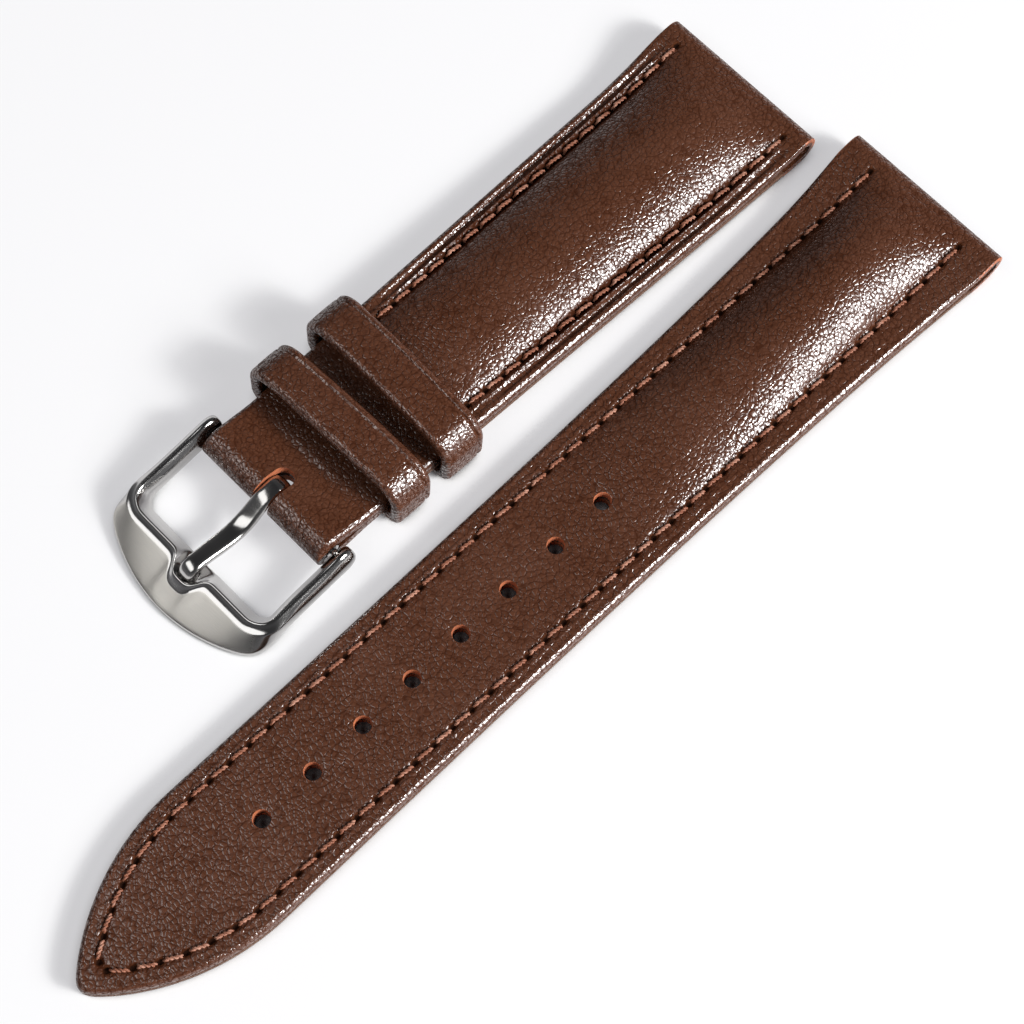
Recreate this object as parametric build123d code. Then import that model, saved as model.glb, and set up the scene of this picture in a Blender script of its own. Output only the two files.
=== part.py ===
# Two-piece padded leather watch strap with a pin buckle, lying open on a table.
# The long piece has the tongue holes and a pointed tip. The short piece is folded round a
# spring bar that carries the buckle frame and the tongue, and has a fixed and a free keeper.
# Lengths are in millimetres. X is across the straps, +Y points at the lug ends, +Z is up,
# and the origin is under the middle of the whole layout, on the table.
from build123d import *
from math import asin, atan, atan2, cos, degrees, exp, hypot, pi, sin, sqrt
import os

# The two straps seen from above
lug_width = 20.0            # both lug ends fill the gap between a watch's lugs
lug_end_straight = 3.6      # the sides stay parallel this far, past the lug tunnel
long_length = 117.0         # lug end to tip
tail_width = 16.1           # width that the long strap settles to
flare_length = 23.9         # how quickly the long strap narrows from its lug end
tip_length = 18.0           # pointed part of the long strap
tip_blunt_width = 2.4       # small rounded end of the point
tip_blunt_sag = 0.6
short_length = 70.0         # lug end to the front of the fold
fold_width = 16.7           # width of the short strap at the fold
strap_spacing = 22.9        # from the middle of one strap to the middle of the other
short_set_back = 3.84       # the short strap's lug end lies this far behind the long one's

# Leather layers
lining_thickness = 0.9
upper_thickness = 1.3
strip_thickness = 0.3
strip_width = 8.0
strip_end_margin = 9.0      # strip's end to the first tongue hole, or to the buckle's bar
cut_overrun = 1.0           # every cutting tool reaches this far past what it cuts

# Lug tunnel, turned round the watch's own spring bar
tunnel_radius = 0.9
tunnel_wall = 0.9
tunnel_tail_length = 1.5    # slit behind the tunnel, where the turned layers close up
tunnel_tail_height = 0.7
flap_end = 4.6              # the turned-under leather ends here and the lining starts

# Padding under the upper leather
long_pad_start = 3.9
long_pad_length = 50.0      # the swelling fades out between the first two tongue holes
long_pad_rise = 2.7
short_pad_start = 3.9
short_pad_rise = 2.4
short_pad_gap = 2.9         # end of the short strap's padding to the free keeper
pad_edge_margin = 0.5       # stitch row to the foot of the crown
pad_side_sink = 0.25        # the crown's foot starts this far under the border's surface
pad_middle_sink = 0.1
pad_blunt_share = 0.8       # the filler is skived away past this share of its length
crown_place_shares = (0.0, 0.05, 0.16, 0.38, 0.62, 0.83, 1.0)
crown_rise_shares = (0.04, 0.36, 0.95, 0.9, 0.56, 0.22, 0.0)

# Stitching
stitch_pitch = 2.5
stitch_length = 1.7
stitch_width = 0.55
stitch_height = 0.3
stitch_flank_share = 0.2    # a stitch's sloping flank, seen from above, against its width
stitch_slant = 7.0          # degrees, turned the same way in both rows
first_stitch = 3.2
stitches_on_slope = 4       # the border slopes down from the lug end over this many stitches
long_stitch_inset = 2.0     # edge of the tail to the row
short_stitch_inset = 2.3
bobbin_width = 0.5
bobbin_height = 0.25
groove_width = 0.7
groove_depth = 0.3

# Tongue holes
hole_diameter = 1.75
hole_count = 8
hole_pitch = 6.49
first_hole = 49.06          # from the lug end

# Keepers
keeper_leather = 0.95
keeper_lining = 0.45
keeper_lining_margin = 0.7  # the cover is turned in this far at both rims
keeper_rim_bevel = 0.3
keeper_room = 2.6           # height over the short strap, left for the long strap's tail
keeper_arch = 0.5
keeper_corner_radius = 2.4
keeper_side_clearance = 0.06
keeper_floor_clearance = 0.06
free_keeper_width = 5.2
free_keeper_travel = 6.3    # it slides back by this much before the taper stops it
fixed_keeper_width = 4.8
fixed_keeper_gap = 7.2      # fixed keeper's front rim to the middle of the buckle's bar
keeper_gap = 2.0            # between the two keepers, as the free one lies

# Spring bar that carries the buckle
bar_tube_radius = 0.75
bar_bore_radius = 0.55
bar_lip_radius = 0.44
bar_lip_length = 0.4
bar_end_gap = 0.15          # tube's end to the buckle's arm
tip_nose_radius = 0.38
tip_nose_reach = 1.1        # into the arm
tip_plunger_radius = 0.5
tip_plunger_length = 2.4
running_clearance = 0.05
coil_wire_radius = 0.1
coil_wire_sides = 4
coil_turns = 9
coil_turn_steps = 8

# Fold of the short strap round the bar
fold_wall = 1.15
fold_clearance = 0.1
fold_flare = 4.6            # the two layers part this far behind the bar
fold_slit_radius = 0.12
fold_slit_gap = 1.4         # start of the flare to the end of the cavity
turned_length = 11.0        # bar to the turned-under end, where the lining starts
slot_width = 2.5
slot_reach = 2.5            # behind the bar

# Buckle frame
frame_side_clearance = 0.13
arm_width = 2.1
arm_height = 2.4
arm_corner_radius = 0.85
arm_end_radius = 1.4
arm_end_bevel = 0.4
window_length = 9.5         # bar to the window's front edge
window_corner_radius = 1.2
window_lean = 1.1           # the window's front wall leans out to the ridge
window_foot = 0.35
plate_length = 6.4          # window to the front edge, in the middle
plate_sagitta = 3.4
plate_corner_radius = 2.2
plate_edge_thickness = 0.7
band_width = 0.9            # polished band between the ridge and the satin face
band_drop = 0.4
notch_radius = 1.25
notch_offset = 1.9          # window's edge to the middle of the notch
notch_floor_height = 0.9    # over the frame's underside
groove_floor_height = 1.7

# Tongue
tongue_width = 1.9
tongue_thickness = 1.1
tongue_ring_radius = 1.75
tongue_ring_clearance = 0.07
tongue_dip_reach = 4.9
tongue_dip = 0.35           # middle of the tongue under the bar's axis at the dip
tongue_crest = 1.4
tongue_crest_offset = 0.9   # the crest lies this far behind the middle of the notch
tongue_tip_offset = 0.3     # and the tip's middle this far past it
tongue_tip_clearance = 0.07
tongue_dip_bend = 4.0
tongue_crest_bend = 0.75

# Sizes that follow from those above
lug_half = lug_width / 2
tail_half = tail_width / 2
fold_half = fold_width / 2
edge_height = lining_thickness + upper_thickness
roll_radius = tunnel_radius + tunnel_wall
slope_end = first_stitch + stitches_on_slope * stitch_pitch - stitch_pitch / 2
tip_start = long_length - tip_length
fold_radius = bar_tube_radius + fold_clearance + fold_wall
bar_place = short_length - fold_radius
bar_height = edge_height / 2
turned_end = bar_place - turned_length
keeper_thickness = keeper_leather + keeper_lining
fixed_keeper_back = bar_place - fixed_keeper_gap - fixed_keeper_width
free_keeper_back = fixed_keeper_back - keeper_gap - free_keeper_width
short_pad_length = free_keeper_back - short_pad_gap - short_pad_start
side_plane = Plane(origin=(0, 0, 0), x_dir=(0, -1, 0), z_dir=(-1, 0, 0))


def long_half_width(place):
    """Half of the long strap's width, at a distance from its lug end."""
    past = max(place - lug_end_straight, 0)
    return tail_half + (lug_half - tail_half) * exp(-past / flare_length)


def short_half_width(place):
    """Half of the short strap's width: it tapers evenly past the lug tunnel."""
    past = max(place - lug_end_straight, 0)
    return lug_half - (lug_half - fold_half) * past / (short_length - lug_end_straight)


def border_height(place):
    """Height of the border outside the stitches, which slopes down from the lug end."""
    share = (place - roll_radius) / (slope_end - roll_radius)
    return 2 * roll_radius + (edge_height - 2 * roll_radius) * min(share, 1)


def section_plane(place):
    """Upright plane across the strap, looking from its lug end to its far end."""
    return Plane(origin=(0, -place, 0), x_dir=(1, 0, 0), z_dir=(0, -1, 0))


def block(half_width, start, end, bottom, top):
    """Plain block across the strap, from one distance to another."""
    across = Rectangle(2 * half_width, top - bottom, align=(Align.CENTER, Align.MIN))
    return extrude(section_plane(start) * Pos(0, bottom) * across, amount=end - start)


# Seen from above, the long strap narrows in a curve and ends in a pointed arch. Its two tip
# arcs leave the sides without a corner, so their radius follows from the tip's size.
tip_half = long_half_width(tip_start)
blunt_half = tip_blunt_width / 2
blunt_place = long_length - tip_blunt_sag
tip_radius = (((tip_half - blunt_half) ** 2 + (blunt_place - tip_start) ** 2)
              / (2 * (tip_half - blunt_half)))


def long_outline():
    flare_shares = (0.0, 0.06, 0.15, 0.3, 0.6, 1.0)
    places = [lug_end_straight + share * (tip_start - lug_end_straight) for share in flare_shares]
    side = Spline(*[(long_half_width(place), -place) for place in places])
    right = [
        Line((lug_half, 0), (lug_half, -lug_end_straight)),
        side,
        TangentArc((tip_half, -tip_start), (blunt_half, -blunt_place), tangent=(0, -1)),
    ]
    left = [mirror(edge, Plane.YZ) for edge in right]
    point = ThreePointArc((blunt_half, -blunt_place), (0, -long_length), (-blunt_half, -blunt_place))
    return make_face([*right, point, *left, Line((-lug_half, 0), (lug_half, 0))])


def short_outline():
    return make_face(Polyline(
        (-lug_half, 0), (lug_half, 0), (lug_half, -lug_end_straight), (fold_half, -short_length),
        (-fold_half, -short_length), (-lug_half, -lug_end_straight), close=True))


def rolled_end_profile(far_end):
    """Side of the upper leather: turned under at the lug end, sloping down to the border."""
    return make_face([
        Line((flap_end, lining_thickness), (flap_end, 0)),
        Line((flap_end, 0), (roll_radius, 0)),
        ThreePointArc((roll_radius, 0), (0, roll_radius), (roll_radius, 2 * roll_radius)),
        Line((roll_radius, 2 * roll_radius), (slope_end, edge_height)),
        Line((slope_end, edge_height), (far_end, edge_height)),
        Line((far_end, edge_height), (far_end, lining_thickness)),
        Line((far_end, lining_thickness), (flap_end, lining_thickness)),
    ])


def tunnel_profile():
    """Tunnel for the watch's spring bar, with the slit that closes behind it."""
    slit_end = roll_radius + tunnel_radius + tunnel_tail_length
    slit = make_face(Polyline(
        (roll_radius, roll_radius - tunnel_tail_height / 2), (slit_end, lining_thickness),
        (roll_radius, roll_radius + tunnel_tail_height / 2), close=True))
    return Pos(roll_radius, roll_radius) * Circle(tunnel_radius) + slit


def crown(start, length, rise, row_half, drop, floor):
    """Swelling over the padding: arched sections that rise behind the lug end and fade out."""
    sections = []
    for place_share, rise_share in zip(crown_place_shares, crown_rise_shares):
        place = start + place_share * length
        half = row_half(place) - pad_edge_margin
        side = border_height(place) - pad_side_sink - drop
        middle = border_height(place) - pad_middle_sink - drop + rise * rise_share
        sections.append(section_plane(place) * make_face([
            Line((-half, floor), (half, floor)),
            Line((half, floor), (half, side)),
            ThreePointArc((half, side), (0, middle), (-half, side)),
            Line((-half, side), (-half, floor)),
        ]))
    return loft(sections)


def pad_hollow(start, length, rise, row_half):
    """Space between the upper leather and the lining, which the filler takes up."""
    swelling = crown(start - cut_overrun, length + cut_overrun, rise, row_half,
                     upper_thickness, -cut_overrun)
    reach = block(lug_half, start, start + pad_blunt_share * length, lining_thickness,
                  edge_height + 2 * roll_radius + rise)
    return swelling & reach


def needle_stitch():
    """One visible stitch: a low bar with sloping flanks."""
    slope = degrees(atan(stitch_width * stitch_flank_share / stitch_height))
    return extrude(Rectangle(stitch_width, stitch_length), amount=stitch_height, taper=slope)


def bobbin_stitch():
    """One stitch underneath: a low ridge that hangs from the groove's floor."""
    ridge = make_face(Polyline((-bobbin_width / 2, 0), (0, -bobbin_height), (bobbin_width / 2, 0),
                               close=True))
    return extrude(Plane.XZ * ridge, amount=stitch_length / 2, both=True)


def long_row_half(place):
    return tip_half - long_stitch_inset


def short_row_half(place):
    return short_half_width(place) - short_stitch_inset


def long_row_places():
    """Stitch places down the right side and round the tip: across, along, and turn."""
    row_radius = tip_radius - long_stitch_inset
    centre = tip_half - tip_radius
    straight = tip_start - first_stitch
    to_apex = atan2(sqrt(row_radius ** 2 - centre ** 2), -centre) * row_radius
    count = int((straight + to_apex) / stitch_pitch)
    places = []
    for step in range(count):
        run = step * stitch_pitch
        if run <= straight:
            places.append((long_row_half(0), first_stitch + run, 0))
        else:
            turn = (run - straight) / row_radius
            places.append((centre + row_radius * cos(turn), tip_start + row_radius * sin(turn),
                           degrees(turn)))
    return places


def short_row_places():
    count = int((free_keeper_back - first_stitch) / stitch_pitch)
    taper = atan((lug_half - fold_half) / (short_length - lug_end_straight))
    return [(short_row_half(first_stitch + step * stitch_pitch),
             first_stitch + step * stitch_pitch, degrees(taper)) for step in range(count)]


def needle_thread(places):
    """Slanted stitches on the border of the upper leather, in two rows."""
    slope = degrees(atan((2 * roll_radius - edge_height) / (slope_end - roll_radius)))
    shape = needle_stitch()
    bars = []
    for across, along, turn in places:
        pitch = slope if along < slope_end else 0
        for side in (1, -1):
            spot = (Pos(side * across, -along, border_height(along)) * Rot(X=pitch)
                    * Rot(Z=-stitch_slant - side * turn))
            bars.append(spot * shape)
    return bars


def bobbin_thread(places):
    """Straight stitches sunk in the lining's grooves."""
    shape = bobbin_stitch()
    return [Pos(side * across, -along, groove_depth) * Rot(Z=-side * turn) * shape
            for across, along, turn in places if along > flap_end + stitch_length
            for side in (1, -1)]


def long_groove():
    """Groove under the long strap's lining along both stitch rows, meeting at the tip."""
    row_radius = tip_radius - long_stitch_inset
    centre = tip_half - tip_radius
    apex = tip_start + sqrt(row_radius ** 2 - centre ** 2)
    row = long_row_half(0)
    lines = [Line((row, -flap_end + cut_overrun), (row, -tip_start)),
             TangentArc((row, -tip_start), (0, -apex), tangent=(0, -1))]
    right = extrude(trace(lines, groove_width), amount=groove_depth)
    return right + mirror(right, Plane.YZ)


def short_groove():
    """Groove under the short strap's lining along both stitch rows."""
    last = short_row_places()[-1][1] + stitch_length
    row = trace(Line((short_row_half(flap_end), -flap_end + cut_overrun),
                     (short_row_half(last), -last)), groove_width)
    right = extrude(row, amount=groove_depth)
    return right + mirror(right, Plane.YZ)


def strap_layers(outline, profile, far_end, strip_end, pad_start, pad_length, pad_rise, row_half,
                 groove):
    """Upper, lining, filler and strip of one strap, before its own holes and slots."""
    plan = extrude(outline, amount=cut_overrun + 2 * roll_radius + edge_height + fold_radius)
    plan = Pos(0, 0, -cut_overrun - fold_radius) * plan
    upper = extrude(side_plane * profile, amount=lug_half + cut_overrun, both=True) & plan
    upper += crown(roll_radius, pad_start + pad_length - roll_radius, pad_rise, row_half, 0,
                   lining_thickness)
    upper -= extrude(side_plane * tunnel_profile(), amount=lug_half + cut_overrun, both=True)
    hollow = pad_hollow(pad_start, pad_length, pad_rise, row_half)
    strip = block(strip_width / 2, pad_start, strip_end, lining_thickness,
                  lining_thickness + strip_thickness)
    upper = upper - hollow - strip
    padding = hollow - strip
    lining = plan & block(lug_half + cut_overrun, flap_end, far_end, 0, lining_thickness)
    return upper, lining - groove, padding, strip


def tongue_holes():
    """Punched holes for the buckle's tongue, through every layer of the long strap."""
    reach = edge_height + long_pad_rise + 2 * cut_overrun
    hole = Cylinder(hole_diameter / 2, reach, align=(Align.CENTER, Align.CENTER, Align.MIN))
    return [Pos(0, -first_hole - step * hole_pitch, -cut_overrun) * hole
            for step in range(hole_count)]


def long_strap():
    layers = strap_layers(
        long_outline(), rolled_end_profile(long_length), long_length,
        first_hole - strip_end_margin, long_pad_start, long_pad_length, long_pad_rise,
        long_row_half, long_groove())
    upper, lining, padding, strip = [layer - tongue_holes() for layer in layers]
    places = long_row_places()
    return {
        "long_upper": upper,
        "long_lining": lining,
        "long_padding": padding,
        "long_reinforcement": strip,
        "long_needle_thread": needle_thread(places),
        "long_bobbin_thread": bobbin_thread(places),
    }


def fold_profile():
    """Side of the fold: the doubled leather swells to a loop round the bar, hollow inside."""
    flare_start = bar_place - fold_flare
    bar = Pos(bar_place, bar_height)
    loop = Edge.make_circle(fold_radius, Plane((bar_place, bar_height, 0)))
    swelling = make_hull([loop, Line((flare_start, 0), (flare_start, edge_height)).edge()])
    doubled = Pos(turned_end, 0) * Rectangle(flare_start - turned_end, edge_height,
                                             align=(Align.MIN, Align.MIN))
    room = Edge.make_circle(bar_tube_radius + fold_clearance, Plane((bar_place, bar_height, 0)))
    slit_place = flare_start + fold_slit_gap
    slit = Edge.make_circle(fold_slit_radius, Plane((slit_place, bar_height, 0)))
    return doubled + swelling, make_hull([room, slit]) + bar * Circle(bar_tube_radius)


def tongue_slot():
    """Long slot through the fold, from behind the bar out at the front."""
    round_end = bar_place - slot_reach + slot_width / 2
    height = 2 * (fold_radius + cut_overrun)
    end = Pos(0, -round_end, bar_height) * Cylinder(slot_width / 2, height)
    run = block(slot_width / 2, round_end, short_length + cut_overrun,
                bar_height - height / 2, bar_height + height / 2)
    return end + run


def short_strap():
    swelling, cavity = fold_profile()
    strip_end = bar_place - strip_end_margin
    upper, lining, padding, strip = strap_layers(
        short_outline(), rolled_end_profile(turned_end) + swelling, turned_end, strip_end,
        short_pad_start, short_pad_length, short_pad_rise, short_row_half, short_groove())
    upper -= extrude(side_plane * cavity, amount=lug_half + cut_overrun, both=True)
    upper -= tongue_slot()
    places = short_row_places()
    return {
        "short_upper": upper,
        "short_lining": lining,
        "short_padding": padding,
        "short_reinforcement": strip,
        "short_needle_thread": needle_thread(places),
        "short_bobbin_thread": bobbin_thread(places),
    }


# A keeper is a band of leather turned round the short strap, with its own thin lining. Its
# inside is as wide as the strap where the free keeper stops, and leaves room for the tail.
keeper_inner_half = (short_half_width(free_keeper_back - free_keeper_travel)
                     + keeper_side_clearance)
keeper_inner_top = edge_height + keeper_room


def keeper_section(thickness, floor_clearance):
    """Closed section of the band, at a thickness out from its inner face."""
    half = keeper_inner_half + thickness
    bottom = -floor_clearance - thickness
    shoulder = keeper_inner_top + thickness - keeper_arch
    section = make_face([
        Line((-half, bottom), (half, bottom)),
        Line((half, bottom), (half, shoulder)),
        ThreePointArc((half, shoulder), (0, shoulder + keeper_arch), (-half, shoulder)),
        Line((-half, shoulder), (-half, bottom)),
    ])
    inner_top_radius = keeper_corner_radius - keeper_thickness
    upper_corners = section.vertices().group_by(Axis.Y)[-1]
    section = fillet(upper_corners, inner_top_radius + thickness)
    lower_corners = section.vertices().group_by(Axis.Y)[0]
    return chamfer(lower_corners, keeper_side_clearance + thickness)


def keeper(back, width, floor_clearance):
    outer = keeper_section(keeper_thickness, floor_clearance)
    middle = keeper_section(keeper_lining, floor_clearance)
    inner = keeper_section(0, floor_clearance)
    cover = extrude(section_plane(back) * outer, amount=width)
    rims = cover.edges().group_by(Axis.Y)
    cover = chamfer(rims[0] + rims[-1], keeper_rim_bevel)
    cover -= extrude(section_plane(back - cut_overrun) * inner, amount=width + 2 * cut_overrun)
    lining_width = width - 2 * keeper_lining_margin
    lining = extrude(section_plane(back + keeper_lining_margin) * (middle - inner),
                     amount=lining_width)
    return cover - lining, lining


def keepers():
    free_cover, free_lining = keeper(free_keeper_back, free_keeper_width, keeper_floor_clearance)
    fixed_cover, fixed_lining = keeper(fixed_keeper_back, fixed_keeper_width, 0)
    return {
        "free_keeper_cover": free_cover,
        "free_keeper_lining": free_lining,
        "fixed_keeper_cover": fixed_cover,
        "fixed_keeper_lining": fixed_lining,
    }


# The buckle is drawn round its bar: the bar's axis is X, and the frame reaches out to -Y.
frame_inner_half = short_half_width(bar_place - arm_end_radius) + frame_side_clearance
frame_outer_half = frame_inner_half + arm_width
frame_bottom = -arm_height / 2
frame_top = arm_height / 2
front_reach = window_length + plate_length
ridge_reach = window_length + window_lean
notch_place = window_length + notch_offset
notch_floor = frame_bottom + notch_floor_height


def frame_outline():
    """Crescent front of the frame from above, from the window's corners forward."""
    back = window_length - window_corner_radius
    side_reach = front_reach - plate_sagitta
    outline = make_face([
        Line((-frame_outer_half, -back), (frame_outer_half, -back)),
        Line((frame_outer_half, -back), (frame_outer_half, -side_reach)),
        ThreePointArc((frame_outer_half, -side_reach), (0, -front_reach),
                      (-frame_outer_half, -side_reach)),
        Line((-frame_outer_half, -side_reach), (-frame_outer_half, -back)),
    ])
    front_corners = outline.vertices().group_by(Axis.Y)[0]
    return fillet(front_corners, plate_corner_radius)


def window_tool():
    """Window with rounded front corners, whose walls lean out from a short upright foot."""
    back = window_length - 2 * window_corner_radius - window_lean
    window = Pos(0, -back) * Rectangle(2 * frame_inner_half, window_length - back,
                                       align=(Align.CENTER, Align.MAX))
    window = fillet(window.vertices().group_by(Axis.Y)[0], window_corner_radius)
    foot = Pos(0, 0, frame_bottom - cut_overrun) * extrude(window, amount=arm_height)
    lean = degrees(atan(window_lean / (arm_height - window_foot)))
    leaning = Pos(0, 0, frame_bottom + window_foot) * extrude(window, amount=arm_height,
                                                             taper=-lean)
    return foot + leaning


def frame_arm(side):
    """Rounded arm with a swelled end, drilled blind for the spring bar's tip."""
    middle = side * (frame_inner_half + arm_width / 2)
    section = RectangleRounded(arm_width, arm_height, arm_corner_radius)
    arm = extrude(section_plane(0) * Pos(middle, 0) * section, amount=ridge_reach)
    end = Rot(Y=90) * Cylinder(arm_end_radius, arm_width)
    end = chamfer(end.edges().filter_by(GeomType.CIRCLE), arm_end_bevel)
    hole_depth = tip_nose_reach + bar_end_gap
    hole = Rot(Y=90) * Cylinder(tip_nose_radius + running_clearance, 2 * hole_depth)
    return arm + Pos(middle, 0) * end - Pos(side * frame_inner_half, 0) * hole


def buckle_frame():
    side = make_face(Polyline(
        (0, frame_bottom), (front_reach, frame_bottom),
        (front_reach, frame_bottom + plate_edge_thickness),
        (ridge_reach + band_width, frame_top - band_drop), (ridge_reach, frame_top),
        (0, frame_top), close=True))
    plate = extrude(side_plane * side, amount=frame_outer_half, both=True)
    outline = Pos(0, 0, frame_bottom) * frame_outline()
    plate = (plate & extrude(outline, amount=arm_height)) - window_tool()
    notch = Pos(0, -notch_place, notch_floor) * Cylinder(
        notch_radius, arm_height, align=(Align.CENTER, Align.CENTER, Align.MIN))
    groove = block(notch_radius, window_length - cut_overrun, notch_place,
                   frame_bottom + groove_floor_height, frame_top + cut_overrun)
    return frame_arm(1) + frame_arm(-1) + plate - notch - groove


def buckle_tongue():
    """Bar bent in a shallow S, with a ring round the spring bar and a hooked tip."""
    ring_middle = tongue_ring_radius - tongue_thickness / 2
    crest_reach = notch_place - tongue_crest_offset
    tip_reach = notch_place + tongue_tip_offset
    tip_height = notch_floor + tongue_thickness / 2 + tongue_tip_clearance
    line = FilletPolyline(
        (0, ring_middle), (tongue_dip_reach, -tongue_dip), (crest_reach, tongue_crest),
        (tip_reach, tip_height), radius=[tongue_dip_bend, tongue_crest_bend])
    tip = Pos(tip_reach, tip_height) * Circle(tongue_thickness / 2)
    side = Circle(tongue_ring_radius) + trace(line, tongue_thickness) + tip
    side -= Circle(bar_tube_radius + tongue_ring_clearance)
    return extrude(side_plane * side, amount=tongue_width / 2, both=True)


tube_half = frame_inner_half - bar_end_gap
plunger_end = tube_half - bar_lip_length - tip_plunger_length


def spring_bar_tube():
    """Thin tube, closed in at both ends so that the sprung tips can't fall out."""
    right = [(0, bar_tube_radius), (tube_half, bar_tube_radius), (tube_half, bar_lip_radius),
             (tube_half - bar_lip_length, bar_lip_radius),
             (tube_half - bar_lip_length, bar_bore_radius), (0, bar_bore_radius)]
    half = revolve(make_face(Polyline(*right, close=True)), Axis.X)
    return half + mirror(half, Plane.YZ)


def spring_bar_tip(side):
    """Turned tip: a plunger inside the tube and a thinner nose that enters the arm."""
    nose_end = frame_inner_half + tip_nose_reach
    shoulder = tube_half - bar_lip_length - running_clearance
    outline = [(plunger_end, 0), (plunger_end, tip_plunger_radius),
               (shoulder, tip_plunger_radius), (shoulder, tip_nose_radius),
               (nose_end, tip_nose_radius), (nose_end, 0)]
    tip = revolve(make_face(Polyline(*outline, close=True)), Axis.X)
    return tip if side > 0 else mirror(tip, Plane.YZ)


def spring_bar_coil():
    """Compression spring between the two plungers, in short straight steps."""
    radius = bar_bore_radius - running_clearance - coil_wire_radius
    length = 2 * (plunger_end - coil_wire_radius - running_clearance)
    steps = coil_turns * coil_turn_steps
    turn = 2 * pi / coil_turn_steps
    route = Polyline(*[(length * (step / steps - 1 / 2), radius * cos(turn * step),
                        radius * sin(turn * step)) for step in range(steps + 1)])
    start = Plane(origin=route @ 0, z_dir=route % 0)
    return sweep(start * RegularPolygon(coil_wire_radius, coil_wire_sides), path=route,
                 transition=Transition.RIGHT)


# The short strap rests on its lug end and on the free keeper's rear rim, so its front is
# raised a little, and the frame droops from the bar until its front edge is on the table.
short_rise = atan((keeper_thickness + keeper_floor_clearance) / free_keeper_back)
half_span = (strap_spacing + frame_outer_half - lug_half) / 2
long_place = Pos(half_span, long_length / 2, 0)
short_origin = (half_span - strap_spacing, long_length / 2 - short_set_back)
short_place = Pos(*short_origin, 0) * Rot(X=-degrees(short_rise))
bar_y = short_origin[1] - bar_place * cos(short_rise) + bar_height * sin(short_rise)
bar_z = bar_place * sin(short_rise) + bar_height * cos(short_rise)
frame_droop = (asin(bar_z / hypot(front_reach, frame_bottom))
               - atan2(-frame_bottom, front_reach))
bar_place_in_row = Pos(short_origin[0], bar_y, bar_z)
buckle_place = bar_place_in_row * Rot(X=degrees(frame_droop))

groups = [
    (long_place, long_strap()),
    (short_place, short_strap()),
    (short_place, keepers()),
    (buckle_place, {"buckle_frame": buckle_frame(), "buckle_tongue": buckle_tongue()}),
    (bar_place_in_row, {
        "spring_bar_tube": spring_bar_tube(),
        "spring_bar_tip_right": spring_bar_tip(1),
        "spring_bar_tip_left": spring_bar_tip(-1),
        "spring_bar_coil": spring_bar_coil(),
    }),
]

os.makedirs("parts", exist_ok=True)
for place, pieces in groups:
    for name, piece in pieces.items():
        solids = piece if isinstance(piece, list) else piece.solids()
        export_step(Compound([place * solid for solid in solids]), f"parts/{name}.step")

print("short strap rises", round(degrees(short_rise), 4), "degrees")
print("frame droops", round(degrees(frame_droop), 4), "degrees")
print("long strap's lug end at", round(half_span, 4), round(long_length / 2, 4))
print("short strap's lug end at", [round(value, 4) for value in short_origin])
print("spring bar at", round(bar_y, 4), round(bar_z, 4))
print("frame inner and outer half width", round(frame_inner_half, 4), round(frame_outer_half, 4))
print("keeper inner half width", round(keeper_inner_half, 4))
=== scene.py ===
from math import acos, asin, atan2, cos, hypot, pi, radians, sin, sqrt

import bmesh
import bpy
import numpy as np
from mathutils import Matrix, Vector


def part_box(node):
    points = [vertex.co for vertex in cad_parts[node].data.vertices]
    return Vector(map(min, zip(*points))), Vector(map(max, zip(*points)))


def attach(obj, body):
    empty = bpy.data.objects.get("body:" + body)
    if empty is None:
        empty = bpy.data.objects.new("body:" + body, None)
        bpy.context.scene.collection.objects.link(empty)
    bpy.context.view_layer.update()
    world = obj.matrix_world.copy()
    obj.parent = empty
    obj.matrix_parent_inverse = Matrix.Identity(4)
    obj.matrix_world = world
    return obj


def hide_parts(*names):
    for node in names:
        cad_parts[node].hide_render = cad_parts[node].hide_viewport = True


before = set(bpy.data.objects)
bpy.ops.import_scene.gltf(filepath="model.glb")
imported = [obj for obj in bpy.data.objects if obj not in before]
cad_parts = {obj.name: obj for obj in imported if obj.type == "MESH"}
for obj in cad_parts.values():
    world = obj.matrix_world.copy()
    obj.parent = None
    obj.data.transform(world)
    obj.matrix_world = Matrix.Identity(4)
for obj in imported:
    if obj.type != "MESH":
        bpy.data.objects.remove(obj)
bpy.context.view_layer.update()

# Table, light and camera
# The strap lies on a white board in a dim room. A bright lamp with a weaker halo round it stands
# far on its right, a card lights it from above and the camera's left, and the camera looks down
# at the photograph's angle.
mm = 0.001
board_half = 3000.0
board_colour = (0.94, 0.94, 0.93, 1.0)
# Painted shade: the near-black board colour in the tongue holes and at the leather's foot
board_hole_painted_shade = (0.04, 0.035, 0.035, 1.0)
board_glow_colour = (0.97, 0.965, 1.0, 1.0)
board_glow_share = 0.5      # of the board's own white that the eye and metal see through shade
hole_shade = 1.8            # and within this reach of the leather it fades out
room_colours = {0.0: (0.22, 0.22, 0.23, 1.0), 0.35: (0.1, 0.1, 0.105, 1.0),
                0.7: (0.05, 0.05, 0.052, 1.0), 1.0: (0.03, 0.03, 0.032, 1.0)}
eye = (57.991, -56.346, 209.507)
eye_turn = (20.6105, -1.4797, 45.3098)
eye_lens = 79.1


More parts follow.
